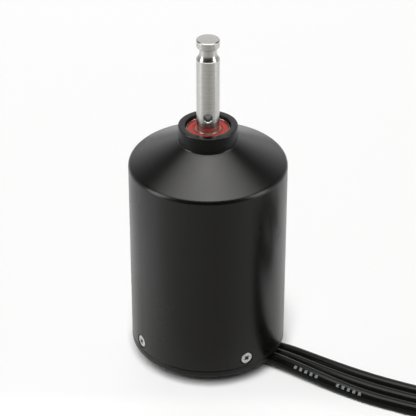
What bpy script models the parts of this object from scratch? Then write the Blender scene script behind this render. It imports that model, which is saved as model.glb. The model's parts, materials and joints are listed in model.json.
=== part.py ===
"""Waterproof inrunner brushless motor standing on its rear mounting pad.

Metres, +Z up. The origin is the centre of the pad's lower face and +Z runs along the shaft.
Every turned piece is made by spinning a profile of (radius, height) points about its axis.
"""
import math

import bmesh
import bpy
from mathutils import Matrix, Vector

MM = 0.001
DEG = math.pi / 180

# Clearances between separate pieces
CLEARANCE = 0.3 * MM
FIT_GAP = 0.15 * MM
BALL_GAP = 0.1 * MM
SEAM_GAP = 0.2 * MM

# Steps round turned pieces, along small arcs, round a ball, and in a span of a lead's route
STEPS_LARGE = 44
STEPS_STACK = 36
STEPS_MIDDLE = 28
STEPS_SMALL = 16
STEPS_MAGNET = 12
STEPS_SECTION = 8
STEPS_FILLET = 4
STEPS_TRACK = 3
BALL_SEGMENTS = 8
BALL_RINGS = 6
STEPS_SPAN = 8

# Housing: can, shoulder, cone and bearing collar
CAN_WALL = 1.6 * MM
CAN_EDGE = 0.2 * MM
END_ROOM = 4.8 * MM
SHOULDER_FILLET = 0.9 * MM
CONE_ANGLE = 26.5 * DEG
CONE_WALL = 2.2 * MM
COLLAR_WALL = 1.5 * MM
COLLAR_HEIGHT = 3.71 * MM
COLLAR_EDGE = 0.2 * MM
STACK_STOP = 1.0 * MM
SEAL_BOSS_WALL = 2.0 * MM
SEAL_BOSS_WEB = 0.85 * MM
SEAL_BOSS_GAP = 1.2 * MM

# Rear cover: pad, flange, plate, spigot and bearing boss
PAD_RADIUS = 10.5 * MM
PAD_HEIGHT = 5.0 * MM
PAD_EDGE = 0.4 * MM
FLANGE_BAND = 1.38 * MM
FLANGE_EDGE = 0.3 * MM
PLATE_THICKNESS = 3.0 * MM
SPIGOT_WALL = 2.1 * MM
REAR_SEAT_FLOOR = 1.6 * MM
REAR_BOSS_WALL = 1.8 * MM
BEARING_PROUD = 0.4 * MM
TAIL_POCKET_GAP = 0.7 * MM
TAIL_POCKET_DEPTH = 0.7 * MM

# Mounting holes in the pad, M3 tapping size
MOUNT_HOLE_RADIUS = 1.25 * MM
MOUNT_HOLE_DEPTH = 4.2 * MM
MOUNT_HOLE_EDGE = 2.25 * MM
MOUNT_HOLE_COUNT = 3

# Cover O-ring
O_RING_SECTION = 0.65 * MM
O_RING_LAND = 2.6 * MM

# Cover screws: countersunk, cross recess
SCREW_COUNT = 4
SCREW_FIRST_ANGLE = -60 * DEG
SCREW_HEIGHT = 2.2 * MM
SCREW_HEAD_RADIUS = 1.45 * MM
SCREW_SHANK_RADIUS = 0.8 * MM
SCREW_HEAD_DEPTH = 0.75 * MM
SCREW_LENGTH = 3.6 * MM
SCREW_SUNK = 0.15 * MM
SCREW_GAP = 0.2 * MM
SCREW_RIM = 0.1 * MM
SCREW_TIP_RADIUS = 0.56 * MM
SCREW_TIP_LENGTH = 0.32 * MM
RECESS_LENGTH = 1.5 * MM
RECESS_WIDTH = 0.36 * MM
RECESS_DEPTH = 0.5 * MM

# Shaft
SHAFT_RADIUS = 2.5 * MM
SHAFT_TAIL = 0.8 * MM
SHAFT_NOSE = 20.74 * MM
SHAFT_EDGE = 0.25 * MM
HEAD_LENGTH = 1.8 * MM
NECK_DEPTH = 0.65 * MM
NECK_LENGTH = 1.2 * MM
NECK_FLARE_RADIUS = 2.0 * MM
NECK_FLARE_ANGLE = 38 * DEG
CROSS_HOLE_RADIUS = 1.0 * MM
CROSS_HOLE_HEIGHT = 2.95 * MM
CROSS_HOLE_FLARE = 0.25 * MM

# Ball bearings 5 x 10 x 4, sealed on both sides
BEARING_WIDTH = 4.0 * MM
BEARING_SUNK = 0.8 * MM
BALL_RADIUS = 0.6 * MM
BALL_COUNT = 7
RING_WALL = 0.55 * MM
RING_LAND = 0.55 * MM
SEAL_LIP_WALL = 0.25 * MM
SEAL_RIM_WALL = 0.2 * MM
SEAL_THICKNESS = 0.35 * MM
SEAL_INSET = 0.12 * MM
CAGE_WALL = 0.3 * MM
CAGE_WIDTH = 2.0 * MM

# Shaft lip seal behind the front bearing
LIP_SEAL_WIDTH = 2.6 * MM
LIP_SEAL_LIP = 0.5 * MM

# Preload washer under the rear bearing
WASHER_HEIGHT = 0.6 * MM
WASHER_WIDTH = 0.7 * MM
WASHER_STRIP = 0.2 * MM
WASHER_WAVES = 3

# Rotor
ROTOR_LENGTH = 25.0 * MM
CORE_WALL = 1.8 * MM
MAGNET_THICKNESS = 1.6 * MM
MAGNET_COUNT = 4
SLEEVE_THICKNESS = 0.3 * MM
BALANCE_RING_WIDTH = 2.0 * MM
BALANCE_RING_STEP = 0.8 * MM
BALANCE_RING_EDGE = 0.3 * MM
SPACER_LENGTH = 1.6 * MM
SPACER_WALL = 0.6 * MM
CIRCLIP_THICKNESS = 0.6 * MM
CIRCLIP_WIDTH = 1.4 * MM
CIRCLIP_OPENING = 70 * DEG
CIRCLIP_GROOVE_DEPTH = 0.45 * MM

# Stator: the slots run from the bore to the yoke, and the can fits round the stack
AIR_GAP = 0.5 * MM
STACK_OVERHANG = 0.5 * MM
TOOTH_COUNT = 6
TOOTH_WIDTH = 4.6 * MM
SLOT_DEPTH = 5.6 * MM
SHOE_THICKNESS = 1.2 * MM
SHOE_OPENING = 8 * DEG
YOKE_THICKNESS = 2.4 * MM
INSULATOR_THICKNESS = 1.2 * MM
INSULATOR_RIM = 0.4 * MM
COIL_THICKNESS = 1.9 * MM
COIL_END = 2.2 * MM
COIL_CORNER = 1.2 * MM

# Cable outlet: channel in the pad, slot in the plate and the potting in both
OUTLET_ANGLE = -17 * DEG
CHANNEL_START = 5.2 * MM
SLOT_REACH = 0.4 * MM
POTTING_FRONT = 9.1 * MM
POTTING_RISE = 1.0 * MM

# Phase leads: 16 AWG silicone, side by side, then wound as a bundle into a coil
LEAD_RADIUS = 1.5 * MM
LEAD_PITCH = 3.1 * MM
LEAD_NAMES = ("a", "b", "c")
LEAD_LANES = (1, 0, -1)
LEAD_LIFT = (0.03 * MM, 0.55 * MM, 1.7 * MM)
LIFT_START = 14.0 * MM
LIFT_END = 40.0 * MM
TUBE_SPACING = 6.5 * MM
LEAD_ROUTE_MM = (
    (9.0, -2.75), (12.0, -3.6), (15.0, -4.7), (18.5, -6.5), (22.5, -9.0),
    (27.0, -11.8), (32.0, -14.7), (37.0, -17.35), (42.0, -19.65), (47.0, -21.75),
    (52.5, -23.6), (57.5, -24.95), (62.5, -25.9), (67.35, -26.38),
)
CLOSE_UP_START = 50.0 * MM
CLOSE_UP_END = 60.0 * MM
CLOSE_UP_ANGLE = 60 * DEG

# The coil that the unseen length is wound into, and its tie
COIL_CENTRE = (68.7 * MM, -10.94 * MM)
COIL_RADIUS = 15.5 * MM
COIL_SECTION = 6.8 * MM
COIL_LAYERS = 2
TIE_THICKNESS = 0.7 * MM
TIE_WIDTH = 3.0 * MM
TIE_ANGLE = -30 * DEG

# The three free ends and their bullet plugs
TAIL_ROUTE_MM = (
    (84.14, -9.59, 11.0), (83.65, -4.6, 10.9), (83.0, 0.9, 10.1), (82.2, 5.4, 7.4),
    (81.3, 9.8, 4.2), (80.3, 14.2, 2.45),
)
TAIL_SPREAD = 5.6 * MM
TAIL_FOLD_SPAN = (0.35, 0.85)
TAIL_FAN_SPAN = (0.45, 1.0)
STRAIGHT_END = 6.0 * MM
SLEEVE_RADIUS = 2.35 * MM
SLEEVE_WALL = 0.45 * MM
SLEEVE_LENGTH = 11.0 * MM
SLEEVE_OVER_LEAD = 5.0 * MM
CUP_RADIUS = 1.6 * MM
PIN_RADIUS = 1.75 * MM
PIN_LENGTH = 8.0 * MM
PIN_COLLAR = 2.0 * MM
PIN_COLLAR_LENGTH = 0.8 * MM

# A pin's swelling body, as (share of its length, share of its radius)
PIN_BODY = ((0.1, 0.86), (0.25, 0.9), (0.5, 1.0), (0.78, 0.9), (0.92, 0.72), (1.0, 0.4))

# Heights worked out from the sizes above
FLANGE_Z = PAD_HEIGHT
SEAM_Z = FLANGE_Z + FLANGE_BAND
CAN_Z = SEAM_Z + SEAM_GAP
SCREW_Z = SEAM_Z + SCREW_HEIGHT
PLATE_TOP_Z = FLANGE_Z + PLATE_THICKNESS
REAR_SEAT_Z = FLANGE_Z + REAR_SEAT_FLOOR
WASHER_Z = REAR_SEAT_Z + CLEARANCE
REAR_BEARING_Z = WASHER_Z + WASHER_HEIGHT + CLEARANCE
SPACER_Z = REAR_BEARING_Z + BEARING_WIDTH + CLEARANCE
REAR_BALANCE_Z = SPACER_Z + SPACER_LENGTH + CLEARANCE
ROTOR_Z = REAR_BALANCE_Z + BALANCE_RING_WIDTH + CLEARANCE
FRONT_BALANCE_Z = ROTOR_Z + ROTOR_LENGTH + CLEARANCE
CIRCLIP_Z = FRONT_BALANCE_Z + BALANCE_RING_WIDTH + CLEARANCE
STACK_Z = ROTOR_Z - STACK_OVERHANG
STACK_TOP_Z = ROTOR_Z + ROTOR_LENGTH + STACK_OVERHANG
WINDING_HIGH = STACK_TOP_Z + 2 * CLEARANCE + INSULATOR_THICKNESS
WINDING_LOW = STACK_Z - 2 * CLEARANCE - INSULATOR_THICKNESS
SHOULDER_Z = WINDING_HIGH + COIL_END + END_ROOM

# Radii worked out from the sizes above, from the shaft out to the can
NECK_RADIUS = SHAFT_RADIUS - NECK_DEPTH
TAIL_POCKET_RADIUS = SHAFT_RADIUS + TAIL_POCKET_GAP
SEAL_BOSS_BORE = SHAFT_RADIUS + SEAL_BOSS_GAP
BALL_CIRCLE = SHAFT_RADIUS + FIT_GAP + RING_WALL + RING_LAND
BEARING_RADIUS = BALL_CIRCLE + RING_LAND + RING_WALL + FIT_GAP
SEAL_INNER = SHAFT_RADIUS + FIT_GAP + SEAL_LIP_WALL + BALL_GAP
SEAL_OUTER = BEARING_RADIUS - FIT_GAP - SEAL_RIM_WALL - BALL_GAP
WASHER_OUTER = BEARING_RADIUS - CLEARANCE
COLLAR_RADIUS = BEARING_RADIUS + COLLAR_WALL
REAR_BOSS_RADIUS = BEARING_RADIUS + REAR_BOSS_WALL
SPACER_RADIUS = SHAFT_RADIUS + CLEARANCE + SPACER_WALL
CIRCLIP_BORE = SHAFT_RADIUS - CIRCLIP_GROOVE_DEPTH + FIT_GAP
CORE_RADIUS = SHAFT_RADIUS + CLEARANCE + CORE_WALL
MAGNET_BORE = CORE_RADIUS + CLEARANCE
SLEEVE_OUTER = MAGNET_BORE + MAGNET_THICKNESS + CLEARANCE + SLEEVE_THICKNESS
BALANCE_RING_RADIUS = SLEEVE_OUTER - BALANCE_RING_STEP
STACK_BORE = SLEEVE_OUTER + AIR_GAP
YOKE_BORE = STACK_BORE + SLOT_DEPTH
STACK_RADIUS = YOKE_BORE + YOKE_THICKNESS
CAN_BORE = STACK_RADIUS + CLEARANCE
BODY_RADIUS = CAN_BORE + CAN_WALL
SPIGOT_RADIUS = CAN_BORE - CLEARANCE
SPIGOT_BORE = SPIGOT_RADIUS - SPIGOT_WALL

# The cable outlet and the mounting holes, from the bearing boss and the pad
SLOT_START = REAR_BOSS_RADIUS + CLEARANCE
SLOT_END = PAD_RADIUS + SLOT_REACH
CHANNEL_WIDTH = 2 * (LEAD_PITCH + LEAD_RADIUS + CLEARANCE)
MOUNT_CIRCLE_RADIUS = PAD_RADIUS - MOUNT_HOLE_EDGE

# The cone runs from the shoulder fillet up to the collar
CONE_SLOPE = math.tan(CONE_ANGLE)
CONE_START_R = BODY_RADIUS - SHOULDER_FILLET + SHOULDER_FILLET * math.sin(CONE_ANGLE)
CONE_START_Z = SHOULDER_Z + SHOULDER_FILLET * math.cos(CONE_ANGLE)
COLLAR_Z = CONE_START_Z + (CONE_START_R - COLLAR_RADIUS) * CONE_SLOPE
COLLAR_TOP_Z = COLLAR_Z + COLLAR_HEIGHT
FRONT_BEARING_Z = COLLAR_TOP_Z - BEARING_SUNK - BEARING_WIDTH
FRONT_SEAT_Z = FRONT_BEARING_Z - CLEARANCE
SEAL_POCKET_Z = FRONT_SEAT_Z - SEAL_BOSS_WEB
SEAL_BOSS_Z = SEAL_POCKET_Z - LIP_SEAL_WIDTH - 2 * CLEARANCE
SHAFT_TOP_Z = COLLAR_TOP_Z + SHAFT_NOSE
CROSS_HOLE_Z = COLLAR_TOP_Z + CROSS_HOLE_HEIGHT


def clear_scene():
    """Remove every object that the file starts with."""
    for old in list(bpy.data.objects):
        bpy.data.objects.remove(old, do_unlink=True)


def material(name, color, roughness, metallic):
    """A Principled material, made once for each name."""
    found = bpy.data.materials.get(name)
    if found:
        return found
    made = bpy.data.materials.new(name)
    made.use_nodes = True
    shader = made.node_tree.nodes["Principled BSDF"]
    shader.inputs["Base Color"].default_value = (*color, 1)
    shader.inputs["Roughness"].default_value = roughness
    shader.inputs["Metallic"].default_value = metallic
    made.diffuse_color = (*color, 1)
    return made


def anodised():
    return material("anodised_black", (0.022, 0.022, 0.021), 0.42, 0.6)


def steel():
    return material("polished_steel", (0.62, 0.61, 0.59), 0.22, 1.0)


def screw_steel():
    return material("screw_steel", (0.72, 0.72, 0.7), 0.3, 1.0)


def bearing_steel():
    return material("bearing_steel", (0.6, 0.6, 0.6), 0.25, 1.0)


def red_rubber():
    return material("red_rubber", (0.45, 0.035, 0.025), 0.5, 0.0)


def black_rubber():
    return material("black_rubber", (0.02, 0.02, 0.02), 0.7, 0.0)


def silicone():
    return material("lead_silicone", (0.025, 0.025, 0.025), 0.45, 0.0)


def potting():
    return material("potting_resin", (0.02, 0.02, 0.022), 0.3, 0.0)


def laminations():
    return material("electrical_steel", (0.3, 0.3, 0.32), 0.5, 0.9)


def copper():
    return material("enamelled_copper", (0.6, 0.22, 0.08), 0.35, 0.9)


def insulator():
    return material("insulator_nylon", (0.75, 0.72, 0.62), 0.6, 0.0)


def magnet():
    return material("nickel_magnet", (0.5, 0.5, 0.48), 0.3, 1.0)


def carbon():
    return material("carbon_sleeve", (0.03, 0.03, 0.035), 0.45, 0.0)


def brass():
    return material("brass", (0.7, 0.5, 0.2), 0.35, 1.0)


def gold():
    return material("gold_plate", (0.9, 0.62, 0.22), 0.2, 1.0)


def heat_shrink():
    return material("heat_shrink", (0.02, 0.02, 0.02), 0.5, 0.0)


def finish_object(name, mesh, finish, sharp=35 * DEG):
    """Name a mesh, give it its material and shade its round faces smooth."""
    mesh.name = name
    mesh.materials.clear()
    mesh.materials.append(finish)
    mesh.shade_smooth()
    mesh.set_sharp_from_angle(angle=sharp)
    made = bpy.data.objects.new(name, mesh)
    bpy.context.collection.objects.link(made)
    return made


def mesh_from(bm):
    """Turn a finished bmesh into a mesh with its faces pointing out."""
    bmesh.ops.remove_doubles(bm, verts=bm.verts, dist=1e-7)
    bmesh.ops.recalc_face_normals(bm, faces=bm.faces)
    mesh = bpy.data.meshes.new("shape")
    bm.to_mesh(mesh)
    bm.free()
    return mesh


def arc(centre, radius, start, end, steps):
    """Points on an arc in the (radius, height) plane, ends included."""
    points = []
    for i in range(steps + 1):
        angle = start + (end - start) * i / steps
        points.append((centre[0] + radius * math.cos(angle), centre[1] + radius * math.sin(angle)))
    return points


def turned(profile, steps, start=0.0, sweep=2 * math.pi):
    """Spin a closed (radius, height) profile about Z. A part turn gets flat ends."""
    bm = bmesh.new()
    whole = sweep > 2 * math.pi - 1e-6
    columns = steps if whole else steps + 1
    rings = []
    for i in range(columns):
        angle = start + sweep * i / steps
        turn = Matrix.Rotation(angle, 4, "Z")
        rings.append([bm.verts.new(turn @ Vector((r, 0, z))) for r, z in profile])
    count = len(profile)
    for i in range(steps):
        here, after = rings[i], rings[(i + 1) % columns]
        for j in range(count):
            k = (j + 1) % count
            if profile[j][0] < 1e-9 and profile[k][0] < 1e-9:
                continue
            corners = [here[j], after[j], after[k], here[k]]
            if profile[j][0] < 1e-9:
                corners = [here[j], after[k], here[k]]
            elif profile[k][0] < 1e-9:
                corners = [here[j], after[j], here[k]]
            bm.faces.new(corners)
    if not whole:
        bm.faces.new(rings[0])
        bm.faces.new(rings[-1])
    return mesh_from(bm)


def extruded(outline, low, high):
    """A flat outline of (x, y) points raised from z = low to z = high."""
    bm = bmesh.new()
    floor = [bm.verts.new((x, y, low)) for x, y in outline]
    top = [bm.verts.new((x, y, high)) for x, y in outline]
    bm.faces.new(floor)
    bm.faces.new(top)
    for i in range(len(outline)):
        j = (i + 1) % len(outline)
        bm.faces.new([floor[i], floor[j], top[j], top[i]])
    return mesh_from(bm)


def temporary(mesh, placing=None):
    """A helper object for a Boolean, removed again once it has been used."""
    made = bpy.data.objects.new("tool", mesh)
    if placing:
        made.matrix_world = placing
    bpy.context.collection.objects.link(made)
    return made


def combine(mesh, tools, operation):
    """The mesh after a Boolean with each tool, given as (mesh, placing)."""
    base = temporary(mesh)
    helpers = [temporary(shape, placing) for shape, placing in tools]
    for helper in helpers:
        step = base.modifiers.new("step", "BOOLEAN")
        step.operation = operation
        step.solver = "EXACT"
        step.object = helper
    bpy.context.view_layer.update()
    seen = base.evaluated_get(bpy.context.evaluated_depsgraph_get())
    result = bpy.data.meshes.new_from_object(seen)
    for helper in [base] + helpers:
        bpy.data.objects.remove(helper, do_unlink=True)
    return result


def radial(angle, height):
    """Placing that turns local +Z to point outwards at that angle and height."""
    upright = Matrix.Translation((0, 0, height)) @ Matrix.Rotation(math.pi / 2, 4, "Y")
    return Matrix.Rotation(angle, 4, "Z") @ upright


def ring_profile(inner, outer, low, high, edge=0.0):
    """A rectangular ring section, with its outer corners chamfered by edge."""
    if edge <= 0:
        return [(inner, low), (outer, low), (outer, high), (inner, high)]
    return [
        (inner, low), (outer - edge, low), (outer, low + edge),
        (outer, high - edge), (outer - edge, high), (inner, high),
    ]


def screw_angles():
    return [SCREW_FIRST_ANGLE + i * 2 * math.pi / SCREW_COUNT for i in range(SCREW_COUNT)]


def countersink():
    """Cutter for one cover screw in the can wall, along local +Z."""
    top = BODY_RADIUS + SCREW_HEAD_RADIUS
    flat = BODY_RADIUS - SCREW_SUNK
    rim = SCREW_HEAD_RADIUS + SCREW_GAP
    bore = SCREW_SHANK_RADIUS + SCREW_GAP
    waist = flat - (rim - bore)
    return turned(
        [(0, CAN_BORE - CLEARANCE), (bore, CAN_BORE - CLEARANCE), (bore, waist), (rim, flat),
         (rim, top), (0, top)],
        STEPS_SMALL,
    )


def make_housing():
    """Can, rounded shoulder, cone and collar in one turned piece."""
    cone_drop = CONE_WALL / math.cos(CONE_ANGLE)
    boss_radius = BEARING_RADIUS + SEAL_BOSS_WALL
    flat_r = boss_radius + SHOULDER_FILLET
    flat_z = COLLAR_Z + (COLLAR_RADIUS - flat_r) * CONE_SLOPE - cone_drop
    stop_bore = CAN_BORE - STACK_STOP
    stop_z = STACK_TOP_Z + CLEARANCE
    inner_cone_z = COLLAR_Z + (COLLAR_RADIUS - stop_bore) * CONE_SLOPE - cone_drop
    fillet = arc(
        (BODY_RADIUS - SHOULDER_FILLET, SHOULDER_Z), SHOULDER_FILLET, 0, math.pi / 2 - CONE_ANGLE,
        STEPS_FILLET,
    )
    profile = [(CAN_BORE, CAN_Z), (BODY_RADIUS - CAN_EDGE, CAN_Z), (BODY_RADIUS, CAN_Z + CAN_EDGE)]
    profile += fillet
    profile += [
        (COLLAR_RADIUS, COLLAR_Z),
        (COLLAR_RADIUS, COLLAR_TOP_Z - COLLAR_EDGE),
        (COLLAR_RADIUS - COLLAR_EDGE, COLLAR_TOP_Z),
        (BEARING_RADIUS + COLLAR_EDGE, COLLAR_TOP_Z),
        (BEARING_RADIUS, COLLAR_TOP_Z - COLLAR_EDGE),
        (BEARING_RADIUS, FRONT_SEAT_Z),
        (SEAL_BOSS_BORE, FRONT_SEAT_Z),
        (SEAL_BOSS_BORE, SEAL_POCKET_Z),
        (BEARING_RADIUS, SEAL_POCKET_Z),
        (BEARING_RADIUS, SEAL_BOSS_Z),
        (boss_radius, SEAL_BOSS_Z),
        (boss_radius, flat_z),
        (flat_r, flat_z),
        (stop_bore, inner_cone_z),
        (stop_bore, stop_z),
        (CAN_BORE, stop_z),
    ]
    holes = [(countersink(), radial(angle, SCREW_Z)) for angle in screw_angles()]
    mesh = combine(turned(profile, STEPS_LARGE), holes, "DIFFERENCE")
    return finish_object("housing", mesh, anodised())


def outlet_placing():
    return Matrix.Rotation(OUTLET_ANGLE, 4, "Z")


def block(low, high):
    """A box between two corners."""
    outline = [(low[0], low[1]), (high[0], low[1]), (high[0], high[1]), (low[0], high[1])]
    return extruded(outline, low[2], high[2])


def o_ring_z():
    return SCREW_Z + O_RING_LAND


def spigot_top():
    return STACK_Z - CLEARANCE


def make_rear_cover():
    """Flange, spigot with its O-ring groove, bearing boss and mounting pad."""
    groove_floor = CAN_BORE - 2 * O_RING_SECTION - 2 * FIT_GAP
    groove_half = O_RING_SECTION + CLEARANCE
    boss_top = REAR_BEARING_Z + BEARING_WIDTH - BEARING_PROUD
    pocket_z = REAR_SEAT_Z - TAIL_POCKET_DEPTH
    profile = [
        (0, 0), (PAD_RADIUS - PAD_EDGE, 0), (PAD_RADIUS, PAD_EDGE), (PAD_RADIUS, FLANGE_Z),
        (BODY_RADIUS - FLANGE_EDGE, FLANGE_Z), (BODY_RADIUS, FLANGE_Z + FLANGE_EDGE),
        (BODY_RADIUS, SEAM_Z), (SPIGOT_RADIUS, SEAM_Z),
        (SPIGOT_RADIUS, o_ring_z() - groove_half), (groove_floor, o_ring_z() - groove_half),
        (groove_floor, o_ring_z() + groove_half), (SPIGOT_RADIUS, o_ring_z() + groove_half),
        (SPIGOT_RADIUS, spigot_top()), (SPIGOT_BORE, spigot_top()), (SPIGOT_BORE, PLATE_TOP_Z),
        (REAR_BOSS_RADIUS, PLATE_TOP_Z), (REAR_BOSS_RADIUS, boss_top), (BEARING_RADIUS, boss_top),
        (BEARING_RADIUS, REAR_SEAT_Z), (TAIL_POCKET_RADIUS, REAR_SEAT_Z),
        (TAIL_POCKET_RADIUS, pocket_z), (0, pocket_z),
    ]
    half = CHANNEL_WIDTH / 2
    channel = [
        (CHANNEL_START, -MM), (SLOT_END, -MM), (SLOT_END, PLATE_TOP_Z + MM),
        (SLOT_START, PLATE_TOP_Z + MM), (SLOT_START, FLANGE_Z), (CHANNEL_START, FLANGE_Z),
    ]
    cuts = [(extruded(channel, -half, half), outlet_placing() @ Matrix.Rotation(math.pi / 2, 4, "X"))]
    thread = SCREW_SHANK_RADIUS + SCREW_GAP
    depth = SPIGOT_BORE - MM
    for angle in screw_angles():
        hole = turned(
            [(0, depth), (thread, depth), (thread, BODY_RADIUS), (0, BODY_RADIUS)], STEPS_SMALL
        )
        cuts.append((hole, radial(angle, SCREW_Z)))
    for i in range(MOUNT_HOLE_COUNT):
        angle = OUTLET_ANGLE + math.pi + i * 2 * math.pi / MOUNT_HOLE_COUNT
        hole = turned(
            [(0, -MM), (MOUNT_HOLE_RADIUS, -MM), (MOUNT_HOLE_RADIUS, MOUNT_HOLE_DEPTH),
             (0, MOUNT_HOLE_DEPTH)],
            STEPS_SMALL,
        )
        place = Matrix.Translation(
            (MOUNT_CIRCLE_RADIUS * math.cos(angle), MOUNT_CIRCLE_RADIUS * math.sin(angle), 0)
        )
        cuts.append((hole, place))
    mesh = combine(turned(profile, STEPS_LARGE), cuts, "DIFFERENCE")
    return finish_object("rear_cover", mesh, anodised())


def make_cover_o_ring():
    centre = (CAN_BORE - FIT_GAP - O_RING_SECTION, o_ring_z())
    section = arc(centre, O_RING_SECTION, 0, 2 * math.pi, STEPS_SECTION)[:-1]
    return finish_object("cover_o_ring", turned(section, STEPS_MIDDLE), black_rubber())


def make_cover_screws():
    """Countersunk screws with a cross recess, heads just under the can's surface."""
    flat = BODY_RADIUS - SCREW_SUNK
    tip = flat - SCREW_LENGTH
    neck = flat - SCREW_HEAD_DEPTH
    profile = [
        (0, tip), (SCREW_TIP_RADIUS, tip), (SCREW_SHANK_RADIUS, tip + SCREW_TIP_LENGTH),
        (SCREW_SHANK_RADIUS, neck), (SCREW_HEAD_RADIUS, flat - SCREW_RIM), (SCREW_HEAD_RADIUS, flat),
        (0, flat),
    ]
    long, wide = RECESS_LENGTH / 2, RECESS_WIDTH / 2
    bars = [
        (block((-long, -wide, flat - RECESS_DEPTH), (long, wide, flat + MM)), None),
        (block((-wide, -long, flat - RECESS_DEPTH), (wide, long, flat + MM)), None),
    ]
    head = combine(turned(profile, STEPS_SMALL), bars, "DIFFERENCE")
    for i, angle in enumerate(screw_angles()):
        made = finish_object(f"cover_screw_{i + 1}", head.copy(), screw_steel())
        made.matrix_world = radial(angle, SCREW_Z)


def bearing_outer(z):
    """Outer ring section with its raceway and the two seal steps."""
    outer = BEARING_RADIUS - FIT_GAP
    land = BALL_CIRCLE + RING_LAND
    step = SEAL_INSET + SEAL_THICKNESS + BALL_GAP
    middle = z + BEARING_WIDTH / 2
    race = BALL_RADIUS + BALL_GAP
    reach = math.acos(RING_LAND / race)
    track = arc((BALL_CIRCLE, middle), race, reach, -reach, STEPS_TRACK)
    seal_seat = SEAL_OUTER + BALL_GAP
    return [
        (outer, z), (outer, z + BEARING_WIDTH), (seal_seat, z + BEARING_WIDTH),
        (seal_seat, z + BEARING_WIDTH - step), (land, z + BEARING_WIDTH - step),
    ] + track + [(land, z + step), (seal_seat, z + step), (seal_seat, z)]


def bearing_inner(z):
    """Inner ring section with its raceway and the relief for the seal lips."""
    bore = SHAFT_RADIUS + FIT_GAP
    land = BALL_CIRCLE - RING_LAND
    step = SEAL_INSET + SEAL_THICKNESS + BALL_GAP
    lip_seat = SEAL_INNER - BALL_GAP
    middle = z + BEARING_WIDTH / 2
    race = BALL_RADIUS + BALL_GAP
    reach = math.acos(RING_LAND / race)
    track = arc((BALL_CIRCLE, middle), race, math.pi + reach, math.pi - reach, STEPS_TRACK)
    return [
        (bore, z), (lip_seat, z), (lip_seat, z + step), (land, z + step),
    ] + track + [
        (land, z + BEARING_WIDTH - step), (lip_seat, z + BEARING_WIDTH - step),
        (lip_seat, z + BEARING_WIDTH), (bore, z + BEARING_WIDTH),
    ]


def ball_set(z):
    """The snap cage with its balls, which travel round the race together."""
    middle = z + BEARING_WIDTH / 2
    half = CAGE_WIDTH / 2
    section = ring_profile(BALL_CIRCLE - CAGE_WALL, BALL_CIRCLE + CAGE_WALL, middle - half, middle + half)
    cage = turned(section, STEPS_MIDDLE)
    balls = []
    for i in range(BALL_COUNT):
        angle = i * 2 * math.pi / BALL_COUNT
        bm = bmesh.new()
        bmesh.ops.create_uvsphere(
            bm, u_segments=BALL_SEGMENTS, v_segments=BALL_RINGS, radius=BALL_RADIUS
        )
        place = Matrix.Translation((BALL_CIRCLE * math.cos(angle), BALL_CIRCLE * math.sin(angle), middle))
        balls.append((mesh_from(bm), place))
    return combine(cage, balls, "UNION")


def make_bearing(end, z):
    """One deep-groove ball bearing: two rings, ball set and two seals."""
    finish_object(f"{end}_bearing_outer_ring", turned(bearing_outer(z), STEPS_MIDDLE), bearing_steel())
    finish_object(f"{end}_bearing_inner_ring", turned(bearing_inner(z), STEPS_MIDDLE), bearing_steel())
    finish_object(f"{end}_bearing_ball_set", ball_set(z), brass())
    low = z + SEAL_INSET
    high = z + BEARING_WIDTH - SEAL_INSET - SEAL_THICKNESS
    for side, start in (("rear", low), ("front", high)):
        section = ring_profile(SEAL_INNER, SEAL_OUTER, start, start + SEAL_THICKNESS)
        finish_object(f"{end}_bearing_{side}_seal", turned(section, STEPS_MIDDLE), red_rubber())


def make_wave_washer():
    """Preload spring washer: a flat strip waved up and down around the ring."""
    bm = bmesh.new()
    inner = WASHER_OUTER - WASHER_WIDTH
    swing = (WASHER_HEIGHT - WASHER_STRIP) / 2
    middle = WASHER_Z + WASHER_HEIGHT / 2
    rings = []
    for i in range(STEPS_MIDDLE):
        angle = i * 2 * math.pi / STEPS_MIDDLE
        z = middle + swing * math.cos(WASHER_WAVES * angle)
        section = ring_profile(inner, WASHER_OUTER, z - WASHER_STRIP / 2, z + WASHER_STRIP / 2)
        turn = Matrix.Rotation(angle, 4, "Z")
        rings.append([bm.verts.new(turn @ Vector((r, 0, h))) for r, h in section])
    for i in range(STEPS_MIDDLE):
        here, after = rings[i], rings[(i + 1) % STEPS_MIDDLE]
        for j in range(4):
            bm.faces.new([here[j], after[j], after[(j + 1) % 4], here[(j + 1) % 4]])
    return finish_object("preload_wave_washer", mesh_from(bm), bearing_steel())


def make_lip_seal():
    """Rotary shaft seal in the pocket behind the front bearing."""
    low = SEAL_BOSS_Z + CLEARANCE
    high = low + LIP_SEAL_WIDTH
    outer = BEARING_RADIUS - CLEARANCE
    inner = SHAFT_RADIUS + CLEARANCE
    heel = inner + LIP_SEAL_LIP
    waist = (low + high) / 2
    section = [
        (outer, low), (outer, high), (inner, high), (inner, high - LIP_SEAL_LIP), (heel, waist),
        (heel, low + LIP_SEAL_LIP), (inner, low),
    ]
    return finish_object("shaft_lip_seal", turned(section, STEPS_MIDDLE), black_rubber())


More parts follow.
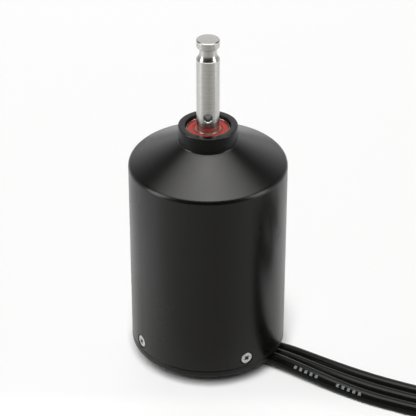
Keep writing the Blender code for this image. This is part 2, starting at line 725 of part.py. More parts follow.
def shaft_profile():
    """Plain journal, circlip groove, and the necked nose with its flat head."""
    tail_z = REAR_BEARING_Z - SHAFT_TAIL
    head_z = SHAFT_TOP_Z - HEAD_LENGTH
    flare_z = head_z - NECK_LENGTH
    groove = SHAFT_RADIUS - CIRCLIP_GROOVE_DEPTH
    flare = arc(
        (NECK_RADIUS + NECK_FLARE_RADIUS, flare_z), NECK_FLARE_RADIUS, math.pi + NECK_FLARE_ANGLE, math.pi,
        STEPS_FILLET,
    )
    edge_r, edge_z = flare[0]
    run = (SHAFT_RADIUS - edge_r) / math.tan(NECK_FLARE_ANGLE)
    return [
        (0, tail_z), (SHAFT_RADIUS - SHAFT_EDGE, tail_z), (SHAFT_RADIUS, tail_z + SHAFT_EDGE),
        (SHAFT_RADIUS, CIRCLIP_Z - FIT_GAP), (groove, CIRCLIP_Z - FIT_GAP),
        (groove, CIRCLIP_Z + CIRCLIP_THICKNESS + FIT_GAP),
        (SHAFT_RADIUS, CIRCLIP_Z + CIRCLIP_THICKNESS + FIT_GAP), (SHAFT_RADIUS, edge_z - run),
    ] + flare + [
        (NECK_RADIUS, head_z), (SHAFT_RADIUS, head_z), (SHAFT_RADIUS, SHAFT_TOP_Z - SHAFT_EDGE),
        (SHAFT_RADIUS - SHAFT_EDGE, SHAFT_TOP_Z), (0, SHAFT_TOP_Z),
    ]


def make_shaft():
    """The output shaft with the cross hole for a drive pin."""
    wide = CROSS_HOLE_RADIUS + 2 * CROSS_HOLE_FLARE
    half = [
        (CROSS_HOLE_RADIUS, SHAFT_RADIUS - 2 * CROSS_HOLE_FLARE),
        (wide, SHAFT_RADIUS), (wide, SHAFT_RADIUS + MM),
    ]
    lower = [(r, -y) for r, y in reversed(half)]
    drill = turned([(0, lower[0][1])] + lower + half + [(0, half[-1][1])], STEPS_SMALL)
    across = Matrix.Translation((0, 0, CROSS_HOLE_Z)) @ Matrix.Rotation(math.pi / 2, 4, "X")
    mesh = combine(turned(shaft_profile(), STEPS_MIDDLE), [(drill, across)], "DIFFERENCE")
    return finish_object("shaft", mesh, steel())


def make_rotor():
    """Core, magnets, retaining sleeve, balance rings, spacer and circlip."""
    bore = SHAFT_RADIUS + CLEARANCE
    top = ROTOR_Z + ROTOR_LENGTH
    core = turned(ring_profile(bore, CORE_RADIUS, ROTOR_Z, top), STEPS_MIDDLE)
    finish_object("rotor_core", core, laminations())
    split = 2 * math.asin(CLEARANCE / 2 / MAGNET_BORE)
    sweep = 2 * math.pi / MAGNET_COUNT - split
    for i in range(MAGNET_COUNT):
        start = i * 2 * math.pi / MAGNET_COUNT + split / 2
        section = ring_profile(MAGNET_BORE, MAGNET_BORE + MAGNET_THICKNESS, ROTOR_Z, top)
        shape = turned(section, STEPS_MAGNET, start, sweep)
        finish_object(f"rotor_magnet_{i + 1}", shape, magnet())
    section = ring_profile(SLEEVE_OUTER - SLEEVE_THICKNESS, SLEEVE_OUTER, ROTOR_Z, top)
    finish_object("magnet_sleeve", turned(section, STEPS_MIDDLE), carbon())
    for end, z in (("rear", REAR_BALANCE_Z), ("front", FRONT_BALANCE_Z)):
        section = ring_profile(
            bore, BALANCE_RING_RADIUS, z, z + BALANCE_RING_WIDTH, BALANCE_RING_EDGE
        )
        finish_object(f"{end}_balance_ring", turned(section, STEPS_MIDDLE), brass())
    spacer = turned(ring_profile(bore, SPACER_RADIUS, SPACER_Z, SPACER_Z + SPACER_LENGTH), STEPS_SMALL)
    finish_object("shaft_spacer", spacer, bearing_steel())
    section = ring_profile(
        CIRCLIP_BORE, CIRCLIP_BORE + CIRCLIP_WIDTH, CIRCLIP_Z, CIRCLIP_Z + CIRCLIP_THICKNESS
    )
    clip = turned(section, STEPS_SMALL, CIRCLIP_OPENING / 2, 2 * math.pi - CIRCLIP_OPENING)
    finish_object("rotor_circlip", clip, bearing_steel())


def slot_outline(yoke, bore):
    """One winding slot, centred on +X, between two teeth."""
    pitch = math.pi / TOOTH_COUNT
    shoe = STACK_BORE + SHOE_THICKNESS
    narrow = SHOE_OPENING / 2
    near = pitch - math.asin(TOOTH_WIDTH / 2 / shoe)
    far = pitch - math.asin(TOOTH_WIDTH / 2 / yoke)
    side = [(bore, narrow), (shoe, narrow), (shoe, near), (yoke, far)]
    floor = [(yoke, 0.0)]
    points = side + floor + [(r, -a) for r, a in reversed(side)]
    return [(r * math.cos(a), r * math.sin(a)) for r, a in points]


def slotted_ring(outer, yoke, low, high):
    """A ring with six inward teeth, each with a pole shoe."""
    ring = turned(ring_profile(STACK_BORE, outer, low, high), STEPS_STACK)
    outline = slot_outline(yoke, STACK_BORE - MM)
    slots = []
    for i in range(TOOTH_COUNT):
        turn = Matrix.Rotation((i + 0.5) * 2 * math.pi / TOOTH_COUNT, 4, "Z")
        slots.append((extruded(outline, low - MM, high + MM), turn))
    return combine(ring, slots, "DIFFERENCE")


def rounded_rectangle(half_width, low, high, corner, steps=3):
    """Outline of a rectangle in (across, up) with rounded corners."""
    centres = [
        (half_width - corner, low + corner, -90 * DEG), (half_width - corner, high - corner, 0),
        (corner - half_width, high - corner, 90 * DEG), (corner - half_width, low + corner, 180 * DEG),
    ]
    points = []
    for x, y, start in centres:
        points += arc((x, y), corner, start, start + 90 * DEG, steps)
    return points


def coil_mesh():
    """One tooth winding: a rounded frame that lies round the tooth on +X."""
    near = STACK_BORE + SHOE_THICKNESS + CLEARANCE
    hole = TOOTH_WIDTH / 2 + CLEARANCE
    wide = hole + COIL_THICKNESS
    rim = YOKE_BORE - INSULATOR_RIM - CLEARANCE
    far = math.sqrt(rim * rim - wide * wide)
    inner = rounded_rectangle(hole, WINDING_LOW, WINDING_HIGH, CLEARANCE)
    outer = rounded_rectangle(wide, WINDING_LOW - COIL_END, WINDING_HIGH + COIL_END, COIL_CORNER)
    bm = bmesh.new()
    loops = []
    for x, outline in ((near, inner), (near, outer), (far, outer), (far, inner)):
        loops.append([bm.verts.new((x, across, up)) for across, up in outline])
    count = len(inner)
    for i in range(4):
        here, after = loops[i], loops[(i + 1) % 4]
        for j in range(count):
            bm.faces.new([here[j], here[(j + 1) % count], after[(j + 1) % count], after[j]])
    return mesh_from(bm)


def make_stator():
    """Laminated stack, end insulators and one winding on each tooth."""
    stack = slotted_ring(STACK_RADIUS, YOKE_BORE, STACK_Z, STACK_TOP_Z)
    finish_object("stator_stack", stack, laminations())
    ends = (
        ("rear", STACK_Z - CLEARANCE - INSULATOR_THICKNESS),
        ("front", STACK_TOP_Z + CLEARANCE),
    )
    for end, low in ends:
        rim = slotted_ring(YOKE_BORE, YOKE_BORE - INSULATOR_RIM, low, low + INSULATOR_THICKNESS)
        finish_object(f"{end}_end_insulator", rim, insulator())
    coil = coil_mesh()
    for i in range(TOOTH_COUNT):
        made = finish_object(f"winding_{i + 1}", coil.copy(), copper())
        made.matrix_world = Matrix.Rotation(i * 2 * math.pi / TOOTH_COUNT, 4, "Z")


def make_potting():
    """Cast resin that seals the leads in the plate slot and the pad channel."""
    half = CHANNEL_WIDTH / 2 - CLEARANCE
    inner = CHANNEL_START + CLEARANCE
    ceiling = FLANGE_Z - CLEARANCE
    slot_low = SLOT_START + CLEARANCE
    slot_high = SLOT_END - CLEARANCE
    top = PLATE_TOP_Z + POTTING_RISE
    outline = [
        (inner, CLEARANCE), (POTTING_FRONT, CLEARANCE), (POTTING_FRONT, FLANGE_Z),
        (slot_high, FLANGE_Z), (slot_high, top), (slot_low, top), (slot_low, ceiling), (inner, ceiling),
    ]
    mesh = extruded(outline, -half, half)
    upright = outlet_placing() @ Matrix.Rotation(math.pi / 2, 4, "X")
    mesh.transform(upright)
    return finish_object("cable_outlet_potting", mesh, potting())


def catmull(points, per_span):
    """Smooth points through a route, with evenly placed steps in each span."""
    ends = [2 * points[0] - points[1]] + list(points) + [2 * points[-1] - points[-2]]
    smooth = []
    for i in range(1, len(ends) - 2):
        before, start, end, after = ends[i - 1], ends[i], ends[i + 1], ends[i + 2]
        for j in range(per_span):
            t = j / per_span
            smooth.append(
                0.5 * (2 * start + (end - before) * t + (2 * before - 5 * start + 4 * end - after) * t * t
                       + (3 * start - before - 3 * end + after) * t ** 3)
            )
    return smooth + [points[-1]]


def ease(value, low, high):
    """0 below low, 1 above high, and a smooth step between."""
    t = min(max((value - low) / (high - low), 0.0), 1.0)
    return t * t * (3 - 2 * t)


def approach_paths():
    """The three leads from the potting to the coil, side by side and then closed up."""
    route = catmull([Vector((x * MM, y * MM, 0)) for x, y in LEAD_ROUTE_MM], STEPS_SPAN)
    rest = TIE_THICKNESS + CLEARANCE + COIL_SECTION / 2
    paths = [[] for _ in LEAD_NAMES]
    for i, point in enumerate(route):
        along = (route[min(i + 1, len(route) - 1)] - route[max(i - 1, 0)]).normalized()
        left = Vector((-along.y, along.x, 0))
        fold = CLOSE_UP_ANGLE * ease(point.x, CLOSE_UP_START, CLOSE_UP_END)
        settle = 1 - ease(point.x, LIFT_START, LIFT_END)
        bundle = LEAD_RADIUS + LEAD_PITCH * math.sin(fold) / 3
        rise = (rest - bundle) * ease(point.x, CLOSE_UP_START, COIL_CENTRE[0])
        for path, lane, lift in zip(paths, LEAD_LANES, LEAD_LIFT):
            stacked = LEAD_PITCH * math.sin(fold) if lane == 0 else 0.0
            height = LEAD_RADIUS + lift * settle + stacked + rise
            path.append(point + left * lane * LEAD_PITCH * math.cos(fold) + Vector((0, 0, height)))
    return paths


def tail_paths():
    """The three leads from the coil down to the floor, fanning out to their plugs."""
    route = catmull([Vector(p) * MM for p in TAIL_ROUTE_MM], STEPS_SPAN)
    paths = [[] for _ in LEAD_NAMES]
    for i, point in enumerate(route):
        along = (route[min(i + 1, len(route) - 1)] - route[max(i - 1, 0)]).normalized()
        left = Vector((-along.y, along.x, 0)).normalized()
        share = i / (len(route) - 1)
        fold = CLOSE_UP_ANGLE * (1 - ease(share, *TAIL_FOLD_SPAN))
        pitch = LEAD_PITCH + (TAIL_SPREAD - LEAD_PITCH) * ease(share, *TAIL_FAN_SPAN)
        for path, lane in zip(paths, LEAD_LANES):
            stacked = pitch * math.sin(fold) * (2 / 3 if lane == 0 else -1 / 3)
            path.append(point + left * lane * pitch * math.cos(fold) + Vector((0, 0, stacked)))
    return paths


def outside_coil(path):
    """The points of a path where the lead's round section is clear of the coil's outer face."""
    face = COIL_RADIUS + COIL_SECTION / 2 + CLEARANCE
    kept = []
    for i, point in enumerate(path):
        along = (path[min(i + 1, len(path) - 1)] - path[max(i - 1, 0)]).normalized()
        outwards = Vector((point.x - COIL_CENTRE[0], point.y - COIL_CENTRE[1], 0))
        across = math.sqrt(max(1 - along.dot(outwards.normalized()) ** 2, 0))
        if outwards.length >= face + LEAD_RADIUS * across:
            kept.append(point)
    return kept


def spaced(path, spacing):
    """Points along a path about one spacing apart, both ends kept."""
    kept = [path[0]]
    for point in path[1:-1]:
        if (point - kept[-1]).length >= spacing and (point - path[-1]).length >= spacing / 2:
            kept.append(point)
    return kept + [path[-1]]


def with_straight_end(points):
    """The points with a level, straight stretch added for the sleeve and plug."""
    along = points[-1] - points[-2]
    along.z = 0
    return points + [points[-1] + along.normalized() * STRAIGHT_END]


def lead_tube(name, points):
    """A lead as a round tube along its points, with closed ends."""
    curve = bpy.data.curves.new(name, "CURVE")
    curve.dimensions = "3D"
    curve.bevel_depth = LEAD_RADIUS
    curve.bevel_resolution = 2
    curve.use_fill_caps = True
    spline = curve.splines.new("POLY")
    spline.points.add(len(points) - 1)
    for slot, point in zip(spline.points, points):
        slot.co = (*point, 1)
    curve.materials.append(silicone())
    made = bpy.data.objects.new(name, curve)
    bpy.context.collection.objects.link(made)
    return made


def coil_height():
    return COIL_LAYERS * COIL_SECTION


def make_coil_and_tie():
    """The space of the wound bundle, and the strap that holds it."""
    low = TIE_THICKNESS + CLEARANCE
    high = low + coil_height()
    inner = COIL_RADIUS - COIL_SECTION / 2
    outer = COIL_RADIUS + COIL_SECTION / 2
    ring = turned(ring_profile(inner, outer, low, high), STEPS_MIDDLE)
    coil = finish_object("lead_coil", ring, silicone())
    coil.location = (*COIL_CENTRE, 0)
    half = COIL_SECTION / 2 + 2 * CLEARANCE
    top = high + CLEARANCE
    hole = rounded_rectangle(half, TIE_THICKNESS, top, CLEARANCE)
    rim = rounded_rectangle(half + TIE_THICKNESS, 0, top + TIE_THICKNESS, CLEARANCE + TIE_THICKNESS)
    bm = bmesh.new()
    loops = []
    for y, outline in (
        (-TIE_WIDTH / 2, hole), (-TIE_WIDTH / 2, rim), (TIE_WIDTH / 2, rim), (TIE_WIDTH / 2, hole),
    ):
        loops.append([bm.verts.new((COIL_RADIUS + across, y, up)) for across, up in outline])
    count = len(hole)
    for i in range(4):
        here, after = loops[i], loops[(i + 1) % 4]
        for j in range(count):
            bm.faces.new([here[j], here[(j + 1) % count], after[(j + 1) % count], after[j]])
    tie = finish_object("coil_tie", mesh_from(bm), black_rubber())
    tie.matrix_world = Matrix.Translation((*COIL_CENTRE, 0)) @ Matrix.Rotation(TIE_ANGLE, 4, "Z")


def plug_placing(points):
    """Placing at a lead's end, with local +Z along the lead."""
    along = (points[-1] - points[-2]).normalized()
    return Matrix.Translation(points[-1]) @ along.to_track_quat("Z", "Y").to_matrix().to_4x4()


def plug_profile():
    """Solder cup, shoulder and banana-bodied pin of a bullet plug."""
    cup = SLEEVE_LENGTH - SLEEVE_OVER_LEAD
    body = [(PIN_RADIUS * wide, cup + PIN_LENGTH * along) for along, wide in PIN_BODY]
    return [
        (0, CLEARANCE), (CUP_RADIUS, CLEARANCE), (CUP_RADIUS, cup), (PIN_COLLAR, cup),
        (PIN_COLLAR, cup + PIN_COLLAR_LENGTH),
    ] + body + [(0, cup + PIN_LENGTH)]


def make_leads():
    """Leads, coil, tie, heat-shrink sleeves and bullet plugs."""
    for name, path in zip(LEAD_NAMES, approach_paths()):
        lead_tube(f"phase_lead_{name}", spaced(outside_coil(path), TUBE_SPACING))
    make_coil_and_tie()
    for name, path in zip(LEAD_NAMES, tail_paths()):
        points = with_straight_end(spaced(outside_coil(path), TUBE_SPACING))
        lead_tube(f"phase_lead_{name}_tail", points)
        place = plug_placing(points)
        plug = finish_object(f"bullet_plug_{name}", turned(plug_profile(), STEPS_SMALL), gold())
        plug.matrix_world = place
        section = ring_profile(
            SLEEVE_RADIUS - SLEEVE_WALL, SLEEVE_RADIUS, -SLEEVE_OVER_LEAD,
            SLEEVE_LENGTH - SLEEVE_OVER_LEAD - CLEARANCE,
        )
        sleeve = finish_object(f"heat_shrink_{name}", turned(section, STEPS_SMALL), heat_shrink())
        sleeve.matrix_world = place


def main():
    clear_scene()
    make_housing()
    make_rear_cover()
    make_cover_o_ring()
    make_cover_screws()
    make_bearing("front", FRONT_BEARING_Z)
    make_bearing("rear", REAR_BEARING_Z)
    make_wave_washer()
    make_lip_seal()
    make_shaft()
    make_rotor()
    make_stator()
    make_potting()
    make_leads()


main()
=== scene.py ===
"""Looks of the waterproof brushless motor: fine surfaces, materials, leads, light and camera.

Metres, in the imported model's own frame: +Z runs up the shaft and the floor is at z = 0.
"""
import json
import math

import bmesh
import bpy
from mathutils import Matrix, Vector

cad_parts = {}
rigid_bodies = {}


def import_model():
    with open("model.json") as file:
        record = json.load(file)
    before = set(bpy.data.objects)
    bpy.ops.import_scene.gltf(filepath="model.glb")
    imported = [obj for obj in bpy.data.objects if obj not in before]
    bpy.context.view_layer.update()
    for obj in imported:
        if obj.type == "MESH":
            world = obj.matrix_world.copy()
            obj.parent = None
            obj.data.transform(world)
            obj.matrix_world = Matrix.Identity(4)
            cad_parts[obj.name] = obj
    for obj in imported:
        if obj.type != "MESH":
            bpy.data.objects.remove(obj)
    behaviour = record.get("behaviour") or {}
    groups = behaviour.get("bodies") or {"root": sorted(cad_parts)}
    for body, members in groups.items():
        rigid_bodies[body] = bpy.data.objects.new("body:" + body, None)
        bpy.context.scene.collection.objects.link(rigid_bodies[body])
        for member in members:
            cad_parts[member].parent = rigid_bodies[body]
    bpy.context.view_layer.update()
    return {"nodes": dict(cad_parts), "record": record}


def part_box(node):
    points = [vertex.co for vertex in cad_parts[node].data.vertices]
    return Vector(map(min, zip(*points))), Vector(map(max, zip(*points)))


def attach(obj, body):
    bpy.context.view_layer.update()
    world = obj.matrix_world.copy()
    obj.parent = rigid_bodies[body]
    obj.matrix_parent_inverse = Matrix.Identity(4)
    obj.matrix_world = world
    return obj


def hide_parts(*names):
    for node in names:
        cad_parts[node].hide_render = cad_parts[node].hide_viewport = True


MM = 0.001
DEG = math.pi / 180
LYING = Matrix.Rotation(math.pi / 2, 4, "X")
SHARP_ANGLE = 30 * DEG

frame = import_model()

# Places read from the frame
HOUSING_LOW, HOUSING_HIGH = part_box("housing")
COVER_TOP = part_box("rear_cover")[1].z
SHAFT_LOW, SHAFT_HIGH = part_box("shaft")
RACE_LOW, RACE_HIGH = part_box("front_bearing_outer_ring")
SEAL_LOW, SEAL_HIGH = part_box("front_bearing_front_seal")
BODY_R = HOUSING_HIGH.x
CAN_Z = HOUSING_LOW.z
COLLAR_TOP = HOUSING_HIGH.z
SHAFT_R = SHAFT_HIGH.x
SHAFT_TOP = SHAFT_HIGH.z

# Steps round a turned surface, a barrel, a flare, a sleeve and a coil, and in a route's span
FINE_STEPS = 192
MIDDLE_STEPS = 96
SMALL_STEPS = 48
BARREL_STEPS = 10
FLARE_STEPS = 8
SLEEVE_STEPS = 28
COIL_STEPS = 120
ROUTE_STEPS = 8

# Housing and cover, as in the construction
SEAM_GAP = 0.2 * MM
FLANGE_BAND = 1.38 * MM
CAN_WALL = 1.6 * MM
CONE_ANGLE = 26.5 * DEG
CONE_WALL = 2.2 * MM
SHOULDER_FILLET = 1.3 * MM
INNER_FILLET = 0.9 * MM
COLLAR_R = 6.5 * MM
COLLAR_HEIGHT = 3.71 * MM
COLLAR_FOOT = 0.1 * MM
BEARING_R = 5.0 * MM
SEAL_BORE_R = 3.7 * MM
FRONT_BOSS_R = 7.0 * MM
FIT_GAP = 0.3 * MM
PAD_R = 10.5 * MM
PLATE_THICK = 3.0 * MM
SPIGOT_WALL = 2.1 * MM
RING_GROOVE_DEPTH = 1.6 * MM
REAR_BOSS_R = 6.8 * MM
REAR_RECESS_R = 3.2 * MM
REAR_RECESS_DEPTH = 0.7 * MM
OUTLET_ANGLE = -17 * DEG
OUTLET_NEAR = 5.2 * MM
OUTLET_STEP = 7.1 * MM
OUTLET_FAR = 10.9 * MM
BOLT_CIRCLE_R = 8.25 * MM
BOLT_ANGLES = [(163 + 120 * i) * DEG for i in range(3)]
BOLT_R = 1.25 * MM
BOLT_MOUTH_R = 1.65 * MM
BOLT_CHAMFER = 0.4 * MM
BOLT_DEPTH = 4.2 * MM
SEAM_Z = CAN_Z - SEAM_GAP
FLANGE_Z = SEAM_Z - FLANGE_BAND
CAN_BORE = BODY_R - CAN_WALL
CONE_SLOPE = math.tan(CONE_ANGLE)
COLLAR_Z = COLLAR_TOP - COLLAR_HEIGHT

# Cover screws
SCREW_Z = SEAM_Z + 2.2 * MM
SCREW_ANGLES = [(-60 + 90 * i) * DEG for i in range(4)]
SCREW_HEAD_R = 1.36 * MM
SCREW_SHANK_R = 0.8 * MM
SCREW_HOLE_R = 1.62 * MM
SCREW_FACE = BODY_R - 0.15 * MM
SCREW_TURNS = (0.6, 1.0, 0.3, 0.75)
RECESS_DEPTH = 0.6 * MM
RECESS_HALF = 0.24 * MM

# Shaft and front bearing
HEAD_HEIGHT = 1.8 * MM
NECK_R = 1.85 * MM
NECK_HEIGHT = 1.2 * MM
FLARE_R = 2.0 * MM
FLARE_TURN = 38 * DEG
CIRCLIP_GAP = 0.15 * MM
CROSS_HOLE_Z = COLLAR_TOP + 2.95 * MM
CROSS_HOLE_R = 1.0 * MM
CROSS_HOLE_MOUTH = 1.15 * MM
RACE_LIP = 0.57 * MM
RACE_BORE = 4.3 * MM
RACE_EDGE_R = 4.65 * MM
INNER_RACE_R = 2.74 * MM
INNER_FLAT_R = 2.66 * MM
SEAL_INNER_R = 2.84 * MM
SEAL_OUTER_R = 4.55 * MM
SEAL_GROOVE_DEPTH = 0.28 * MM

# Leads, with routes and lanes as in the construction
LEAD_R = 1.5 * MM
LEAD_PITCH = 3.1 * MM
LEAD_NAMES = ("a", "b", "c")
LEAD_LANES = (1, 0, -1)
LEAD_LIFT = (0.03 * MM, 0.55 * MM, 1.7 * MM)
LEAD_ROUTE = [
    Vector((x, y, 0)) for x, y in (
        (0.009, -0.00275), (0.012, -0.0036), (0.015, -0.0047), (0.0185, -0.0065),
        (0.0225, -0.009), (0.027, -0.0118), (0.032, -0.0147), (0.037, -0.01735),
        (0.042, -0.01965), (0.047, -0.02175), (0.0525, -0.0236), (0.0575, -0.02495),
        (0.0625, -0.0259), (0.06735, -0.02638),
    )
]
TAIL_ROUTE = [
    Vector(point) for point in (
        (0.08414, -0.00959, 0.011), (0.08365, -0.0046, 0.0109), (0.083, 0.0009, 0.0101),
        (0.0822, 0.0054, 0.0074), (0.0813, 0.0098, 0.0042), (0.0803, 0.0142, 0.00245),
    )
]
STRAIGHT_END_MM = (4, 2, 0)
LEAD_END_BACK_MM = 0.35
SMOOTHING_PASSES = 6
SETTLE_SPAN = (0.014, 0.04)
CLOSE_UP_SPAN = (0.05, 0.06)
TAIL_SPREAD = 5.6 * MM
TAIL_FOLD_SPAN = (0.35, 0.85)
TAIL_FAN_SPAN = (0.45, 1.0)
CLOSE_UP_ANGLE = 60 * DEG
COIL_CENTRE = Vector((0.0687, -0.01094, 0))
COIL_R = 15.5 * MM
COIL_START = -95 * DEG
COIL_END = 365 * DEG
COIL_LOW = 4.4 * MM
COIL_HIGH = 11.0 * MM
COIL_RISE_SPAN = (100 * DEG, 245 * DEG)
COIL_TWIST_TURNS = 2
COIL_TWIST_SPAN = (0.02, 0.98)
TIE_ANGLE = -30 * DEG
LEAD_SIDES = 32
STRAPPED_LEAD = "b"
MARKED_LEAD = "c"
MARK_SPANS = ((0.0203, 0.0264), (0.0287, 0.035))
MARK_PITCH = 1.35 * MM
MARK_TURN = 0.13
MARK_HALF = 0.04
MARK_FILL = 0.24
MARK_COLOR = (0.16, 0.172, 0.18)
LEAD_COLOR = (0.003, 0.003, 0.0027)
STREAK_STRETCH = (38, 12, 1)
LEAD_STEP = 0.8 * MM

# Plugs, sleeves and the coil's strap with its lock
CUP_LENGTH = 6.0 * MM
CUP_R = 1.6 * MM
CUP_FLOOR = 0.3 * MM
PLUG_SHOULDER_R = 2.0 * MM
PLUG_NECK_R = 1.3 * MM
PLUG_SLOTS = 6
SLOT_HALF = 0.13 * MM
SLOT_DEPTH_R = 1.22 * MM
SLOT_OUTSIDE = 3 * MM
SLEEVE_CUP_SPAN = (-1.2 * MM, 0.8 * MM)
SLEEVE_RIPPLE = 0.025 * MM
SLEEVE_LIP = 0.14 * MM
STRAP_THICK = 0.7 * MM
STRAP_HALF_WIDTH = 1.5 * MM
STRAP_EDGE = 0.16 * MM
STRAP_HALF = 4.0 * MM
STRAP_TOP = 14.9 * MM
STRAP_CORNER = 0.8 * MM
LOCK_REACH = 4.7 * MM
LOCK_HALF_WIDTH = 2.1 * MM
LOCK_HALF = 1.2 * MM
LOCK_CORNER = 0.4 * MM
LOCK_HEIGHTS = (5.6 * MM, 9.6 * MM)

# Finish of the housing, and a weaker reflection on its collar's side: painted shade that darkens the
# collar
BODY_SPECULAR = 0.43
COLLAR_SHADE_SPECULAR = 0.2

# Camera, fitted to the photograph
CAMERA_PLACE = Vector((0, -0.35003, 0.26339))
CAMERA_TARGET = Vector((0, 0, 0.03892))
CAMERA_LENS = 161.80
CAMERA_SENSOR = 36.0
CAMERA_CLIP_END = 10

# Lamps, with powers in watts, and the only pieces that shade the key lamp
LAMP_COLOR = (1.0, 0.99, 0.965)
OVERHEAD_POWER = 2.75
OVERHEAD_PLACE = (0, 0.205, 0.75)
OVERHEAD_TARGET = (0, 0.205, 0)
OVERHEAD_SIZE = (1.1, 0.75)
OVERHEAD_SPREAD = 84 * DEG
KEY_POWER = 29.5
KEY_PLACE = (-0.1, -0.96, 1.24)
KEY_SIZE = (0.8, 0.6)
LEFT_POWER = 2.3
RIGHT_POWER = 1.8
PANEL_PLACE = (0.62, -0.16, 0.3)
PANEL_TARGET = (0, 0, 0.05)
PANEL_SIZE = (0.3, 0.6)
LOW_PIECES = ("cover_shell", "silicone_lead", "gold_plug", "shrunk_sleeve", "coil_strap")

# The room's strength, and its ramps as (from, from, to, to)
WORLD_STRENGTH = 0.92
WORLD_HEIGHT_STOPS = (0.5, 0.85, 1.0, 0.1)
WORLD_DEPTH_STOPS = (0.4, 0.95, 0.05, 1.0)
WORLD_SIDE_HEIGHT_STOPS = (0.25, 0.5, 0.6, 0.0)
WORLD_SIDE_DEPTH_STOPS = (-0.1, 0.25, 0.0, 1.0)

# Floor: its glow for the camera, and its colour painted darker for glossy rays: a painted dark reflection
# in front, painted shade round the base and a painted shadow beside the leads
FLOOR_HALF_SIZE = 4
FLOOR_COLOR = (0.95, 0.95, 0.947)
FLOOR_PAINTED_SHADE_COLOR = (0.4, 0.393, 0.373)
FAR_WHITE = 0.17
FAR_DEPTHS = (0.0, 0.18)
NEAR_WHITE = 0.06
NEAR_DEPTHS = (-0.022, -0.016)
FRONT_DEPTHS = (0.012, 0.03)
FRONT_SKEW = 0.2
FRONT_WIDEST_SLANT = 3.8
# Painted shade round the base and painted shadow beside the leads, seen only by glossy rays
BASE_PAINTED_SHADE = 0.38
BASE_SHADE_END = 0.055
LEAD_PAINTED_SHADOW = 0.1
LEAD_LINE_NORMAL = (0.447, 0.894, 0)
LEAD_LINE_OFFSET = 0.00156
LEAD_SHADE_EDGES = (0.004, 0.012)
LEAD_SHADE_START = (0.006, 0.014)


def link(made):
    bpy.context.scene.collection.objects.link(made)
    return made


def show(name, mesh, material, body, slot, *nodes):
    """A finished piece: smooth shaded, with its material, riding on its body."""
    mesh.name = name
    mesh.materials.clear()
    mesh.materials.append(material)
    mesh.shade_smooth()
    mesh.set_sharp_from_angle(angle=SHARP_ANGLE)
    piece = link(bpy.data.objects.new(name, mesh))
    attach(piece, body)
    if nodes:
        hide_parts(*nodes)
    return piece


def mesh_from(bm):
    bmesh.ops.remove_doubles(bm, verts=bm.verts, dist=1e-7)
    bmesh.ops.recalc_face_normals(bm, faces=bm.faces)
    mesh = bpy.data.meshes.new("shape")
    bm.to_mesh(mesh)
    bm.free()
    return mesh


def soften(corners, steps=5):
    """A closed (radius, height) outline from (radius, height, fillet) corners."""
    outline = []
    for i, (r, z, fillet) in enumerate(corners):
        here = Vector((r, z))
        if fillet <= 0:
            outline.append((r, z))
            continue
        back = Vector(corners[i - 1][:2]) - here
        ahead = Vector(corners[(i + 1) % len(corners)][:2]) - here
        half = back.angle(ahead) / 2
        reach = fillet / math.tan(half)
        middle = here + (back.normalized() + ahead.normalized()).normalized() * fillet / math.sin(half)
        start = here + back.normalized() * reach - middle
        end = here + ahead.normalized() * reach - middle
        turn = start.angle_signed(end)
        for j in range(steps + 1):
            arm = Matrix.Rotation(-turn * j / steps, 2) @ start
            outline.append((middle.x + arm.x, middle.y + arm.y))
    return outline


def turned(outline, steps):
    """Spin a closed (radius, height) outline about Z."""
    bm = bmesh.new()
    rings = []
    for i in range(steps):
        angle = i * 2 * math.pi / steps
        c, s = math.cos(angle), math.sin(angle)
        rings.append([bm.verts.new((r * c, r * s, z)) for r, z in outline])
    count = len(outline)
    for i in range(steps):
        here, after = rings[i], rings[(i + 1) % steps]
        for j in range(count):
            k = (j + 1) % count
            first, second = outline[j][0] < 1e-9, outline[k][0] < 1e-9
            if first and second:
                continue
            corners = [here[j], after[j], after[k], here[k]]
            if first:
                corners = [here[j], after[k], here[k]]
            elif second:
                corners = [here[j], after[j], here[k]]
            bm.faces.new(corners)
    return mesh_from(bm)


def extruded(outline, low, high):
    """A flat outline of (x, y) points raised from z = low to z = high."""
    bm = bmesh.new()
    floor = [bm.verts.new((x, y, low)) for x, y in outline]
    top = [bm.verts.new((x, y, high)) for x, y in outline]
    bm.faces.new(floor)
    bm.faces.new(top)
    for i in range(len(outline)):
        j = (i + 1) % len(outline)
        bm.faces.new([floor[i], floor[j], top[j], top[i]])
    return mesh_from(bm)


def combine(mesh, tools, operation="DIFFERENCE"):
    """The mesh after a Boolean with each tool, given as (mesh, placing)."""
    base = link(bpy.data.objects.new("base", mesh))
    helpers = []
    for shape, placing in tools:
        helper = link(bpy.data.objects.new("tool", shape))
        helper.matrix_world = placing
        helpers.append(helper)
        step = base.modifiers.new("step", "BOOLEAN")
        step.operation = operation
        step.solver = "EXACT"
        step.object = helper
    bpy.context.view_layer.update()
    seen = base.evaluated_get(bpy.context.evaluated_depsgraph_get())
    result = bpy.data.meshes.new_from_object(seen)
    for helper in [base] + helpers:
        bpy.data.objects.remove(helper, do_unlink=True)
    return result


def radial(angle, height):
    """Placing that turns local +Z to point outwards at that angle and height."""
    upright = Matrix.Translation((0, 0, height)) @ Matrix.Rotation(math.pi / 2, 4, "Y")
    return Matrix.Rotation(angle, 4, "Z") @ upright


